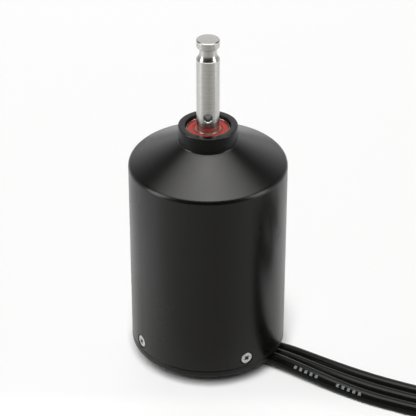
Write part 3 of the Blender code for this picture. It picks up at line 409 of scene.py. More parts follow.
class Nodes:
    """A material's node tree, with short calls to add and join nodes."""

    def __init__(self, name, color, roughness, metallic=0.0, **sockets):
        self.material = bpy.data.materials.new(name)
        self.material.use_nodes = True
        self.tree = self.material.node_tree
        self.shader = self.tree.nodes["Principled BSDF"]
        self.set("Base Color", (*color, 1))
        self.set("Roughness", roughness)
        self.set("Metallic", metallic)
        for label, value in sockets.items():
            self.set(label.replace("_", " "), value)

    def set(self, label, value):
        self.shader.inputs[label].default_value = value

    def add(self, kind, **values):
        node = self.tree.nodes.new(kind)
        for label, value in values.items():
            if hasattr(node, label):
                setattr(node, label, value)
            else:
                node.inputs[label.replace("_", " ")].default_value = value
        return node

    def join(self, out, into):
        self.tree.links.new(out, into)

    def place(self, scale=(1, 1, 1)):
        """Object coordinates in metres, stretched by scale."""
        source = self.add("ShaderNodeTexCoord")
        mapping = self.add("ShaderNodeMapping")
        mapping.inputs["Scale"].default_value = scale
        self.join(source.outputs["Object"], mapping.inputs["Vector"])
        return mapping.outputs["Vector"]

    def noise(self, scale, detail=3.0, stretch=(1, 1, 1)):
        node = self.add("ShaderNodeTexNoise", Scale=scale, Detail=detail)
        self.join(self.place(stretch), node.inputs["Vector"])
        return node.outputs["Fac"]

    def radius(self):
        """Distance from the Z axis."""
        across = self.add("ShaderNodeVectorMath", operation="LENGTH")
        self.join(self.place((1, 1, 0)), across.inputs[0])
        return across.outputs["Value"]

    def split(self, vector):
        """The outputs that give a vector's X, Y and Z."""
        node = self.add("ShaderNodeSeparateXYZ")
        self.join(vector, node.inputs["Vector"])
        return node.outputs

    def turning(self, scale, detail=3.0):
        """Fine lines left by turning: round a side, and in rings on an end face."""
        total = self.math("ADD", self.radius(), self.split(self.place())["Z"])
        node = self.add("ShaderNodeTexNoise", noise_dimensions="1D", Scale=scale, Detail=detail)
        self.join(total, node.inputs["W"])
        return node.outputs["Fac"]

    def span(self, value, low, high, start=0.3, end=0.7):
        """The value mapped from start..end to low..high."""
        node = self.add("ShaderNodeMapRange", From_Min=start, From_Max=end, To_Min=low, To_Max=high)
        self.join(value, node.inputs["Value"])
        return node.outputs["Result"]

    def math(self, operation, *values):
        """The result of a Math node for sockets and plain numbers."""
        node = self.add("ShaderNodeMath", operation=operation)
        for value, socket in zip(values, node.inputs):
            if isinstance(value, (int, float)):
                socket.default_value = value
            else:
                self.join(value, socket)
        return node.outputs[0]

    def less(self, value):
        """1 less the value."""
        return self.math("SUBTRACT", 1, value)

    def between(self, value, low, high):
        """1 where the value lies between low and high, and 0 elsewhere."""
        above = self.math("GREATER_THAN", value, low)
        return self.math("MULTIPLY", above, self.math("LESS_THAN", value, high))

    def mix(self, factor, first, second):
        node = self.add("ShaderNodeMix", data_type="RGBA")
        self.join(factor, node.inputs["Factor"])
        node.inputs["A"].default_value = (*first, 1)
        node.inputs["B"].default_value = (*second, 1)
        return node.outputs["Result"]

    def bump(self, height, strength, distance):
        node = self.add("ShaderNodeBump", Strength=strength, Distance=distance)
        self.join(height, node.inputs["Height"])
        previous = self.shader.inputs["Normal"].links
        if previous:
            self.join(previous[0].from_socket, node.inputs["Normal"])
        self.join(node.outputs["Normal"], self.shader.inputs["Normal"])

    def rough(self, value):
        self.join(value, self.shader.inputs["Roughness"])

    def color(self, value):
        self.join(value, self.shader.inputs["Base Color"])


def anodised(name, specular):
    """Fine blasted and black anodised aluminium."""
    look = Nodes(name, (0.0016, 0.0016, 0.0014), 0.26, Specular_IOR_Level=specular)
    grain = look.noise(9000, 4)
    patches = look.noise(120, 3)
    look.rough(look.span(patches, 0.24, 0.28))
    dark, light = (0.0011, 0.0011, 0.0009), (0.0021, 0.0021, 0.0019)
    look.color(look.mix(look.span(grain, 0, 1), dark, light))
    look.bump(grain, 0.12, 0.00001)
    return look.material


def turned_steel():
    """Ground and polished shaft steel with fine lines round it."""
    look = Nodes(
        "polished_steel", (0.6, 0.59, 0.57), 0.24, 1.0, Anisotropic=0.65, Anisotropic_Rotation=0.25,
    )
    round_z = look.add("ShaderNodeTangent", direction_type="RADIAL", axis="Z")
    look.join(round_z.outputs["Tangent"], look.shader.inputs["Tangent"])
    lines = look.turning(8000, 4)
    look.rough(look.span(lines, 0.21, 0.28))
    look.color(look.mix(look.span(lines, 0, 1), (0.555, 0.545, 0.525), (0.625, 0.615, 0.595)))
    look.bump(lines, 0.04, 0.000003)
    return look.material


def painted_shade_steel(name, dark, light, smooth, rough):
    """Steel darkened as painted shade, for the wall of a drilled hole or a pressed recess, from dark to
    light patches.
    """
    look = Nodes(name, light, rough, 1.0)
    grain = look.noise(3000, 3)
    look.color(look.mix(look.span(grain, 0, 1), dark, light))
    look.rough(look.span(grain, smooth, rough))
    return look.material


def screw_steel():
    look = Nodes("screw_steel", (0.78, 0.78, 0.76), 0.3, 1.0)
    grain = look.noise(5000, 3)
    look.rough(look.span(grain, 0.24, 0.38))
    look.bump(grain, 0.2, 0.00001)
    return look.material


def bearing_steel():
    look = Nodes("bearing_steel", (0.66, 0.66, 0.65), 0.2, 1.0)
    lines = look.turning(5000)
    look.rough(look.span(lines, 0.14, 0.26))
    look.bump(lines, 0.1, 0.000004)
    return look.material


def red_rubber():
    look = Nodes("red_rubber", (0.31, 0.032, 0.021), 0.42, Specular_IOR_Level=0.5)
    grain = look.noise(4500, 3)
    look.color(look.mix(look.span(grain, 0, 1), (0.28, 0.027, 0.018), (0.34, 0.038, 0.026)))
    look.rough(look.span(grain, 0.4, 0.55))
    look.bump(grain, 0.15, 0.00001)
    return look.material


def black_rubber():
    look = Nodes("black_rubber", (0.018, 0.018, 0.018), 0.65)
    grain = look.noise(4000, 3)
    look.rough(look.span(grain, 0.55, 0.75))
    look.bump(grain, 0.3, 0.00002)
    return look.material


def silicone(name, marks=()):
    """Satin black silicone with faint streaks from the extruder, and dash marks where given."""
    look = Nodes(name, LEAD_COLOR, 0.22, Specular_IOR_Level=0.2)
    grain = look.noise(3000, 3)
    spot = look.add("ShaderNodeUVMap", uv_map="UVMap").outputs["UV"]
    stretch = look.add("ShaderNodeMapping", Scale=STREAK_STRETCH)
    look.join(spot, stretch.inputs["Vector"])
    streaks = look.add("ShaderNodeTexNoise", Scale=1.0, Detail=4.0)
    look.join(stretch.outputs["Vector"], streaks.inputs["Vector"])
    look.rough(look.span(streaks.outputs["Fac"], 0.18, 0.27))
    look.bump(grain, 0.08, 0.00001)
    look.bump(streaks.outputs["Fac"], 0.3, 0.00003)
    if marks:
        turn, along = look.split(spot)[:2]
        band = look.between(turn, MARK_TURN - MARK_HALF, MARK_TURN + MARK_HALF)
        dash = look.math("PINGPONG", along, MARK_PITCH / 2)
        inked = look.math("MULTIPLY", band, look.math("LESS_THAN", dash, MARK_PITCH * MARK_FILL))
        groups = 0
        for low, high in marks:
            groups = look.math("MAXIMUM", groups, look.between(along, low, high))
        look.color(look.mix(look.math("MULTIPLY", inked, groups), LEAD_COLOR, MARK_COLOR))
    return look.material


def potting():
    look = Nodes("potting_resin", (0.012, 0.012, 0.013), 0.25)
    swirl = look.noise(500, 2)
    look.rough(look.span(swirl, 0.18, 0.34))
    look.bump(swirl, 0.3, 0.0001)
    return look.material


def laminations():
    look = Nodes("electrical_steel", (0.3, 0.3, 0.32), 0.5, 0.9)
    layers = look.add("ShaderNodeTexWave", bands_direction="Z", Scale=900)
    look.join(look.place(), layers.inputs["Vector"])
    look.color(look.mix(layers.outputs["Fac"], (0.2, 0.2, 0.22), (0.38, 0.38, 0.4)))
    look.bump(layers.outputs["Fac"], 0.5, 0.00005)
    return look.material


def copper():
    look = Nodes("enamelled_copper", (0.6, 0.22, 0.08), 0.32, 0.9)
    wires = look.add("ShaderNodeTexWave", bands_direction="X", Scale=500)
    look.join(look.place(), wires.inputs["Vector"])
    look.color(look.mix(wires.outputs["Fac"], (0.42, 0.13, 0.045), (0.7, 0.27, 0.1)))
    look.bump(wires.outputs["Fac"], 0.6, 0.0001)
    return look.material


def insulator():
    look = Nodes("insulator_nylon", (0.75, 0.72, 0.62), 0.55)
    grain = look.noise(2500, 3)
    look.rough(look.span(grain, 0.48, 0.62))
    look.bump(grain, 0.15, 0.00002)
    return look.material


def magnet():
    look = Nodes("nickel_magnet", (0.56, 0.54, 0.5), 0.28, 1.0)
    grain = look.noise(1500, 3)
    look.rough(look.span(grain, 0.2, 0.36))
    return look.material


def carbon():
    look = Nodes("carbon_sleeve", (0.02, 0.02, 0.022), 0.35)
    tows = look.noise(1, 3, stretch=(300, 300, 5000))
    look.color(look.mix(look.span(tows, 0, 1), (0.012, 0.012, 0.013), (0.05, 0.05, 0.055)))
    look.bump(tows, 0.3, 0.00003)
    return look.material


def brass():
    look = Nodes("brass", (0.68, 0.48, 0.2), 0.3, 1.0)
    lines = look.turning(4000)
    look.rough(look.span(lines, 0.22, 0.38))
    look.bump(lines, 0.15, 0.00001)
    return look.material


def gold():
    look = Nodes("gold_plate", (0.95, 0.66, 0.24), 0.18, 1.0)
    smear = look.noise(900, 3)
    look.rough(look.span(smear, 0.12, 0.26))
    look.bump(smear, 0.05, 0.00002)
    return look.material


def heat_shrink():
    look = Nodes("heat_shrink", (0.014, 0.014, 0.014), 0.42)
    ripple = look.noise(700, 3)
    look.rough(look.span(ripple, 0.34, 0.5))
    look.bump(ripple, 0.35, 0.0001)
    return look.material


LOOKS = {
    "anodised_black": anodised("anodised_black", BODY_SPECULAR),
    "black_rubber": black_rubber(),
    "screw_steel": screw_steel(),
    "bearing_steel": bearing_steel(),
    "brass": brass(),
    "red_rubber": red_rubber(),
    "polished_steel": turned_steel(),
    "electrical_steel": laminations(),
    "nickel_magnet": magnet(),
    "carbon_sleeve": carbon(),
    "insulator_nylon": insulator(),
    "enamelled_copper": copper(),
    "potting_resin": potting(),
    "lead_silicone": silicone("lead_silicone"),
    "gold_plate": gold(),
    "heat_shrink": heat_shrink(),
}
# Darker steels: painted shade in the cross hole's wall and in the screws' recesses
HOLE_SHADED_STEEL = painted_shade_steel("drilled_steel", (0.12, 0.119, 0.117), (0.16, 0.158, 0.155), 0.12, 0.2)
RECESS_SHADED_STEEL = painted_shade_steel("pressed_steel", (0.3, 0.298, 0.292), (0.46, 0.457, 0.45), 0.28, 0.4)
# A copy of the finish with a weaker reflection, painted shade for the collar's side
COLLAR_SHADED_BLACK = anodised("collar_black", COLLAR_SHADE_SPECULAR)


def dress_inner_pieces():
    """Every CAD node gets the procedural material of its slot in the record."""
    for row in frame["record"]["subparts"]:
        node = frame["nodes"][row["node"]]
        node.data.materials.clear()
        node.data.materials.append(LOOKS[row["material_slot"]])


def make_camera():
    data = bpy.data.cameras.new("camera")
    data.lens = CAMERA_LENS
    data.sensor_width = CAMERA_SENSOR
    data.clip_end = CAMERA_CLIP_END
    camera = link(bpy.data.objects.new("camera", data))
    camera.location = CAMERA_PLACE
    camera.rotation_mode = "QUATERNION"
    camera.rotation_quaternion = (CAMERA_TARGET - CAMERA_PLACE).to_track_quat("-Z", "Y")
    bpy.context.scene.camera = camera


def catmull(points, per_span):
    """Smooth points through a route, with evenly placed steps in each span."""
    ends = [2 * points[0] - points[1]] + list(points) + [2 * points[-1] - points[-2]]
    smooth = []
    for i in range(1, len(ends) - 2):
        before, start, end, after = ends[i - 1], ends[i], ends[i + 1], ends[i + 2]
        for j in range(per_span):
            t = j / per_span
            smooth.append(
                0.5 * (2 * start + (end - before) * t + (2 * before - 5 * start + 4 * end - after) * t * t
                       + (3 * start - before - 3 * end + after) * t ** 3)
            )
    return smooth + [points[-1]]


def ease(value, low, high):
    """0 below low, 1 above high, and a smooth step between."""
    t = min(max((value - low) / (high - low), 0.0), 1.0)
    return t * t * (3 - 2 * t)


def heading(path, i):
    """The direction of a path at its point i."""
    return (path[min(i + 1, len(path) - 1)] - path[max(i - 1, 0)]).normalized()


def leftwards(path, i):
    """The level step to the left of a path at its point i, of length 1 where the path is level."""
    along = heading(path, i)
    return Vector((-along.y, along.x, 0))


def stack_share(lane):
    """A lane's height over the middle of the closed-up leads, as a share of their stack."""
    return 2 / 3 if lane == 0 else -1 / 3


def approach(lane, lift):
    """One lead from the potting to the coil, as in the construction."""
    route = catmull(LEAD_ROUTE, ROUTE_STEPS)
    path = []
    for i, point in enumerate(route):
        left = leftwards(route, i)
        fold = CLOSE_UP_ANGLE * ease(point.x, *CLOSE_UP_SPAN)
        settle = 1 - ease(point.x, *SETTLE_SPAN)
        bundle = LEAD_R + LEAD_PITCH * math.sin(fold) / 3
        rise = (COIL_LOW - bundle) * ease(point.x, CLOSE_UP_SPAN[0], COIL_CENTRE.x)
        stacked = LEAD_PITCH * math.sin(fold) if lane == 0 else 0.0
        height = LEAD_R + lift * settle + stacked + rise
        path.append(point + left * lane * LEAD_PITCH * math.cos(fold) + Vector((0, 0, height)))
    return path


def coil_turns(lane):
    """One lead's way round the coil, twisted with the other two."""
    across = lane * LEAD_PITCH * math.cos(CLOSE_UP_ANGLE)
    up = LEAD_PITCH * math.sin(CLOSE_UP_ANGLE) * stack_share(lane)
    path = []
    for i in range(1, COIL_STEPS):
        share = i / COIL_STEPS
        angle = COIL_START + (COIL_END - COIL_START) * share
        twist = 2 * math.pi * COIL_TWIST_TURNS * ease(share, *COIL_TWIST_SPAN)
        inwards = across * math.cos(twist) - up * math.sin(twist)
        upwards = across * math.sin(twist) + up * math.cos(twist)
        height = COIL_LOW + (COIL_HIGH - COIL_LOW) * ease(angle, *COIL_RISE_SPAN)
        reach = COIL_R - inwards
        turn = Vector((reach * math.cos(angle), reach * math.sin(angle), height + upwards))
        path.append(COIL_CENTRE + turn)
    return path


def mean_point(node):
    """The middle of a CAD node's vertices, which lies on a turned node's axis."""
    vertices = frame["nodes"][node].data.vertices
    return sum((v.co for v in vertices), Vector()) / len(vertices)


def plug_axis(name):
    """Where a lead ends in its plug, and the direction that the plug points in."""
    sleeve = mean_point(f"heat_shrink_{name}")
    along = (mean_point(f"bullet_plug_{name}") - sleeve).normalized()
    return sleeve - along * LEAD_END_BACK_MM * MM, along


def tail(lane, name):
    """One lead from the coil down to the floor and straight into its plug."""
    route = catmull(TAIL_ROUTE, ROUTE_STEPS)
    path = []
    for i, point in enumerate(route):
        share = i / (len(route) - 1)
        fold = CLOSE_UP_ANGLE * (1 - ease(share, *TAIL_FOLD_SPAN))
        pitch = LEAD_PITCH + (TAIL_SPREAD - LEAD_PITCH) * ease(share, *TAIL_FAN_SPAN)
        aside = leftwards(route, i).normalized() * lane * pitch * math.cos(fold)
        path.append(point + aside + Vector((0, 0, pitch * math.sin(fold) * stack_share(lane))))
    end, along = plug_axis(name)
    return path + [end - along * reach * MM for reach in STRAIGHT_END_MM]


def evenly(path, step):
    """Points along a path, one step apart."""
    kept = [path[0]]
    left_over = 0.0
    for a, b in zip(path, path[1:]):
        length = (b - a).length
        reach = step - left_over
        while reach <= length:
            kept.append(a.lerp(b, reach / length))
            reach += step
        left_over = length - (reach - step)
    return kept + [path[-1]]


def smoothed(path, passes):
    """The path with its small kinks eased, its first and last points kept."""
    for _ in range(passes):
        inner = [(a + b * 2 + c) / 4 for a, b, c in zip(path, path[1:], path[2:])]
        path = [path[0]] + inner + [path[-1]]
    return path


def reach_at(path, x):
    """How far along a path it first passes that x."""
    travelled = 0.0
    for a, b in zip(path, path[1:]):
        if b.x >= x:
            break
        travelled += (b - a).length
    return travelled


def whole_dashes(reach):
    """The nearest place along the lead that lies halfway between two dashes."""
    return (round(reach / MARK_PITCH - 0.5) + 0.5) * MARK_PITCH


def tube(path, radius, sides):
    """A round tube along a path, with its length and turn kept in a UV map."""
    bm = bmesh.new()
    layer = bm.loops.layers.uv.new("UVMap")
    up = Vector((0, 0, 1))
    rings, travelled, distance = [], [], 0.0
    for i, point in enumerate(path):
        if i:
            distance += (point - path[i - 1]).length
        along = heading(path, i)
        side = along.cross(up).normalized()
        up = side.cross(along).normalized()
        ring = []
        for j in range(sides):
            angle = 2 * math.pi * j / sides
            ring.append(bm.verts.new(point + (side * math.sin(angle) + up * math.cos(angle)) * radius))
        rings.append(ring)
        travelled.append(distance)
    for i in range(len(path) - 1):
        for j in range(sides):
            k = (j + 1) % sides
            face = bm.faces.new([rings[i][j], rings[i + 1][j], rings[i + 1][k], rings[i][k]])
            spots = ((j, i), (j, i + 1), (j + 1, i + 1), (j + 1, i))
            for corner, (turn, step) in zip(face.loops, spots):
                corner[layer].uv = (turn / sides, travelled[step])
    bm.faces.new(rings[0])
    bm.faces.new(rings[-1])
    bmesh.ops.recalc_face_normals(bm, faces=bm.faces)
    mesh = bpy.data.meshes.new("tube")
    bm.to_mesh(mesh)
    bm.free()
    return mesh


def plug_place(name):
    """Placing at a lead's end, with local +Z along its plug."""
    end, along = plug_axis(name)
    return Matrix.Translation(end) @ along.to_track_quat("Z", "Y").to_matrix().to_4x4()


def plug_mesh():
    """Solder cup, shoulder and sprung barrel with its slots, along local +Z."""
    cup, shoulder, tip = CUP_LENGTH, CUP_LENGTH + 0.8 * MM, CUP_LENGTH + 8 * MM
    corners = [
        (0, CUP_FLOOR, 0), (CUP_R, CUP_FLOOR, 0), (CUP_R, cup, 0), (PLUG_SHOULDER_R, cup, 0.1 * MM),
        (PLUG_SHOULDER_R, shoulder, 0.12 * MM), (PLUG_NECK_R, shoulder, 0),
        (PLUG_NECK_R, cup + 1.3 * MM, 0),
    ]
    end_r, swell, start, length = 1.48, 0.27, 1.5, 4.9
    for i in range(BARREL_STEPS + 1):
        share = i / BARREL_STEPS
        bulge = end_r + swell * math.sin(math.pi * share) ** 0.8
        corners.append((bulge * MM, cup + (start + length * share) * MM, 0))
    corners += [
        (PLUG_NECK_R, cup + 6.7 * MM, 0), (PLUG_NECK_R, cup + 7.2 * MM, 0.15 * MM),
        (0.7 * MM, tip, 0.2 * MM), (0, tip, 0),
    ]
    low, high = cup + 1.8 * MM, cup + 6.1 * MM
    slot = [(SLOT_DEPTH_R, low), (SLOT_OUTSIDE, low), (SLOT_OUTSIDE, high), (SLOT_DEPTH_R, high)]
    cuts = []
    for i in range(PLUG_SLOTS):
        cutter = extruded(slot, -SLOT_HALF, SLOT_HALF)
        cutter.transform(LYING)
        cuts.append((cutter, Matrix.Rotation(i * 2 * math.pi / PLUG_SLOTS, 4, "Z")))
    return combine(turned(soften(corners, 3), SMALL_STEPS), cuts)


def bullet_plug(name, shape):
    mesh = shape.copy()
    mesh.transform(plug_place(name))
    plug = show(
        f"gold_plug_{name}", mesh, LOOKS["gold_plate"], "case", "gold_plate", f"bullet_plug_{name}",
    )
    plug.visible_glossy = False
    return plug


def shrunk_sleeve(name):
    """Sleeve drawn down on the lead at one end and over the solder cup at the other."""
    outer, inner = [], []
    start, length, outer_r, inner_r = -4.95, 10.6, 1.98, 1.58
    for i in range(SLEEVE_STEPS + 1):
        share = i / SLEEVE_STEPS
        z = (start + length * share) * MM
        over_cup = ease(z, *SLEEVE_CUP_SPAN)
        ripple = SLEEVE_RIPPLE * math.sin(9 * share * math.pi) * math.sin(share * math.pi)
        outer.append(((outer_r + 0.27 * over_cup) * MM + ripple, z, 0))
        inner.append(((inner_r + 0.16 * over_cup) * MM, z, 0))
    for i in (0, -1):
        outer[i] = (*outer[i][:2], SLEEVE_LIP)
    mesh = turned(soften(outer + inner[::-1], 3), SMALL_STEPS)
    mesh.transform(plug_place(name))
    return show(
        f"shrunk_sleeve_{name}", mesh, LOOKS["heat_shrink"], "case", "heat_shrink",
        f"heat_shrink_{name}",
    )


def rounded_loop(half, low, high, corner, steps=6):
    """A rectangle with round corners, as (across, up) points."""
    outline = []
    for i, (x, z) in enumerate(((half, high), (-half, high), (-half, low), (half, low))):
        middle = Vector((x - math.copysign(corner, x), z + (corner if i > 1 else -corner)))
        for j in range(steps + 1):
            angle = (i + j / steps) * math.pi / 2
            outline.append((middle.x + corner * math.cos(angle), middle.y + corner * math.sin(angle)))
    return outline


def coil_strap():
    """A flat strap round the coil, with round edges and its lock on the outside."""
    thick = STRAP_THICK
    section = rounded_loop(thick / 2, -STRAP_HALF_WIDTH, STRAP_HALF_WIDTH, STRAP_EDGE, 3)
    bm = bmesh.new()
    loops = []
    for x, across in section:
        out = x + thick / 2
        outline = rounded_loop(STRAP_HALF + out, thick - out, STRAP_TOP + out, STRAP_CORNER + out)
        loops.append([bm.verts.new((COIL_R + x, across, z)) for x, z in outline])
    count = len(loops[0])
    for i in range(len(loops)):
        here, after = loops[i], loops[(i + 1) % len(loops)]
        for j in range(count):
            k = (j + 1) % count
            bm.faces.new([here[j], here[k], after[k], after[j]])
    strap = mesh_from(bm)
    block = rounded_loop(LOCK_HALF, -LOCK_HALF_WIDTH, LOCK_HALF_WIDTH, LOCK_CORNER, 4)
    lock = (extruded(block, *LOCK_HEIGHTS), Matrix.Translation((COIL_R + LOCK_REACH, 0, 0)))
    mesh = combine(strap, [lock], "UNION")
    mesh.transform(Matrix.Translation(COIL_CENTRE) @ Matrix.Rotation(TIE_ANGLE, 4, "Z"))
    return show("coil_strap", mesh, LOOKS["black_rubber"], "case", "black_rubber", "coil_tie")


def make_leads():
    """Three silicone leads at their real length, from the potting to their plugs."""
    plug = plug_mesh()
    for name, lane, lift in zip(LEAD_NAMES, LEAD_LANES, LEAD_LIFT):
        path = approach(lane, lift) + coil_turns(lane) + tail(lane, name)
        path = evenly(smoothed(evenly(path, LEAD_STEP), SMOOTHING_PASSES), LEAD_STEP)
        finish = LOOKS["lead_silicone"]
        if name == MARKED_LEAD:
            spans = [[whole_dashes(reach_at(path, x)) for x in span] for span in MARK_SPANS]
            finish = silicone("marked_silicone", spans)
        lead = show(
            f"silicone_lead_{name}", tube(path, LEAD_R, LEAD_SIDES), finish, "case",
            "lead_silicone", f"phase_lead_{name}", f"phase_lead_{name}_tail", "lead_coil",
        )
        with_pieces = [bullet_plug(name, plug), shrunk_sleeve(name)]
        if name == STRAPPED_LEAD:
            with_pieces.append(coil_strap())


def countersink():
    """Cutter for one screw's hole in the can wall, along local +Z."""
    bore = SCREW_SHANK_R + SEAM_GAP
    waist = SCREW_FACE - (SCREW_HOLE_R - bore)
    inside = CAN_BORE - MM
    outside = BODY_R + MM
    outline = [(0, inside), (bore, inside), (bore, waist), (SCREW_HOLE_R, SCREW_FACE),
               (SCREW_HOLE_R, outside), (0, outside)]
    return turned(outline, SMALL_STEPS)


def on_collar_side(face):
    """True for a face of the collar's upright outer side."""
    upright = abs(face.normal.z) < 0.1
    outside = abs(math.hypot(face.center.x, face.center.y) - COLLAR_R) < 0.02 * MM
    return upright and outside and face.center.z > COLLAR_Z


def make_housing():
    """Can, rounded shoulder, cone and collar, with fine edges."""
    under = COLLAR_Z - CONE_WALL / math.cos(CONE_ANGLE)
    shoulder = COLLAR_Z + (COLLAR_R - BODY_R) * CONE_SLOPE
    stop = CAN_BORE - 1.0 * MM
    stop_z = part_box("stator_stack")[1].z + FIT_GAP
    seat_z = RACE_LOW.z - FIT_GAP
    pocket_z = seat_z - 0.85 * MM
    boss_z = pocket_z - 3.2 * MM
    web = FRONT_BOSS_R + INNER_FILLET
    corners = [
        (CAN_BORE, CAN_Z, 0), (BODY_R, CAN_Z, 0.14 * MM), (BODY_R, shoulder, SHOULDER_FILLET),
        (COLLAR_R + COLLAR_FOOT, COLLAR_Z - COLLAR_FOOT * CONE_SLOPE, 0.02 * MM),
        (COLLAR_R, COLLAR_Z + 1.3 * COLLAR_FOOT, 0.02 * MM), (COLLAR_R, COLLAR_TOP, 0.22 * MM),
        (BEARING_R, COLLAR_TOP, 0.09 * MM), (BEARING_R, seat_z, 0), (SEAL_BORE_R, seat_z, 0),
        (SEAL_BORE_R, pocket_z, 0), (BEARING_R, pocket_z, 0), (BEARING_R, boss_z, 0),
        (FRONT_BOSS_R, boss_z, 0), (FRONT_BOSS_R, under + (COLLAR_R - web) * CONE_SLOPE, 0),
        (web, under + (COLLAR_R - web) * CONE_SLOPE, 0),
        (stop, under + (COLLAR_R - stop) * CONE_SLOPE, 0), (stop, stop_z, 0), (CAN_BORE, stop_z, 0),
    ]
    holes = [(countersink(), radial(angle, SCREW_Z)) for angle in SCREW_ANGLES]
    mesh = combine(turned(soften(corners, 6), FINE_STEPS), holes)
    shell = show("housing_shell", mesh, LOOKS["anodised_black"], "case", "anodised_black", "housing")
    # The collar's side takes the weaker copy of the finish: painted shade
    shell.data.materials.append(COLLAR_SHADED_BLACK)
    for face in shell.data.polygons:
        face.material_index = int(on_collar_side(face))


def recess_arm():
    """A tapered bar that cuts one slot of the cross."""
    floor, above = SCREW_FACE - RECESS_DEPTH, SCREW_FACE + MM
    low, high = 0.54 * MM, 0.78 * MM
    outline = [(-low, floor), (low, floor), (high, above), (-high, above)]
    mesh = extruded(outline, -RECESS_HALF, RECESS_HALF)
    mesh.transform(LYING)
    return mesh


def in_recess(face):
    """True for a face of the cross recess, in a screw that still points along local +Z."""
    middle = face.center
    near = math.hypot(middle.x, middle.y) < 0.75 * MM
    return near and SCREW_FACE - 0.7 * MM < middle.z < SCREW_FACE - 0.02 * MM


def make_screws():
    """Countersunk screws with a tapered cross recess."""
    tip = SCREW_FACE - 3.6 * MM
    neck = SCREW_FACE - 0.75 * MM
    corners = [
        (0, tip, 0), (0.56 * MM, tip, 0), (SCREW_SHANK_R, tip + 0.3 * MM, 0), (SCREW_SHANK_R, neck, 0),
        (SCREW_HEAD_R, SCREW_FACE - 0.12 * MM, 0.05 * MM), (SCREW_HEAD_R, SCREW_FACE, 0.09 * MM),
        (0, SCREW_FACE, 0),
    ]
    cuts = [(recess_arm(), Matrix.Rotation(turn, 4, "Z")) for turn in (0, math.pi / 2)]
    head = combine(turned(soften(corners, 3), SMALL_STEPS), cuts)
    for i, angle in enumerate(SCREW_ANGLES):
        mesh = head.copy()
        mesh.transform(Matrix.Rotation(SCREW_TURNS[i], 4, "Z"))
        recessed = [in_recess(face) for face in mesh.polygons]
        mesh.transform(radial(angle, SCREW_Z))
        name = f"cover_screw_{i + 1}"
        screw = show(f"{name}_head", mesh, LOOKS["screw_steel"], "case", "screw_steel", name)
        # The cross recess takes the darker steel: painted shade in the recess
        screw.data.materials.append(RECESS_SHADED_STEEL)
        for face, sunk in zip(screw.data.polygons, recessed):
            face.material_index = int(sunk)


def make_cover():
    """Flange, spigot, bearing boss and mounting pad, with fine edges."""
    boss_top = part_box("rear_bearing_outer_ring")[1].z - 0.4 * MM
    seat_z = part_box("preload_wave_washer")[0].z - FIT_GAP
    recess_z = seat_z - REAR_RECESS_DEPTH
    plate_z = FLANGE_Z + PLATE_THICK
    spigot_r = CAN_BORE - FIT_GAP
    spigot_bore = spigot_r - SPIGOT_WALL
    ring_low, ring_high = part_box("cover_o_ring")
    groove_low, groove_high = ring_low.z - FIT_GAP, ring_high.z + FIT_GAP
    groove_r = CAN_BORE - RING_GROOVE_DEPTH
    lip_z = CAN_Z - 0.07 * MM
    corners = [
        (0, 0, 0), (PAD_R, 0, 0.4 * MM), (PAD_R, FLANGE_Z, 0), (BODY_R, FLANGE_Z, 0.3 * MM),
        (BODY_R, lip_z, 0.1 * MM), (spigot_r, lip_z, 0), (spigot_r, groove_low, 0),
        (groove_r, groove_low, 0), (groove_r, groove_high, 0), (spigot_r, groove_high, 0),
        (spigot_r, COVER_TOP, 0), (spigot_bore, COVER_TOP, 0), (spigot_bore, plate_z, 0),
        (REAR_BOSS_R, plate_z, 0), (REAR_BOSS_R, boss_top, 0), (BEARING_R, boss_top, 0),
        (BEARING_R, seat_z, 0), (REAR_RECESS_R, seat_z, 0), (REAR_RECESS_R, recess_z, 0),
        (0, recess_z, 0),
    ]
    half = LEAD_PITCH + LEAD_R + FIT_GAP
    outlet = Matrix.Rotation(OUTLET_ANGLE, 4, "Z") @ LYING
    channel = [
        (OUTLET_NEAR, -MM), (OUTLET_FAR, -MM), (OUTLET_FAR, plate_z + MM),
        (OUTLET_STEP, plate_z + MM), (OUTLET_STEP, FLANGE_Z), (OUTLET_NEAR, FLANGE_Z),
    ]
    cuts = [(extruded(channel, -half, half), outlet)]
    inside, outside = spigot_bore - MM, BODY_R
    for angle in SCREW_ANGLES:
        drill = turned([(0, inside), (MM, inside), (MM, outside), (0, outside)], SMALL_STEPS)
        cuts.append((drill, radial(angle, SCREW_Z)))
    bolt = [
        (0, -MM), (BOLT_MOUTH_R, -MM), (BOLT_MOUTH_R, 0), (BOLT_R, BOLT_CHAMFER),
        (BOLT_R, BOLT_DEPTH), (0, BOLT_DEPTH),
    ]
    for angle in BOLT_ANGLES:
        place = (BOLT_CIRCLE_R * math.cos(angle), BOLT_CIRCLE_R * math.sin(angle), 0)
        cuts.append((turned(bolt, SMALL_STEPS), Matrix.Translation(place)))
    mesh = combine(turned(soften(corners), FINE_STEPS), cuts)
    show("cover_shell", mesh, LOOKS["anodised_black"], "case", "anodised_black", "rear_cover")


def in_cross_hole(face):
    """True for a face of the cross hole's wall."""
    reach = math.hypot(face.center.x, face.center.z - CROSS_HOLE_Z)
    return reach < CROSS_HOLE_R * 1.01 and abs(face.normal.y) < 0.5


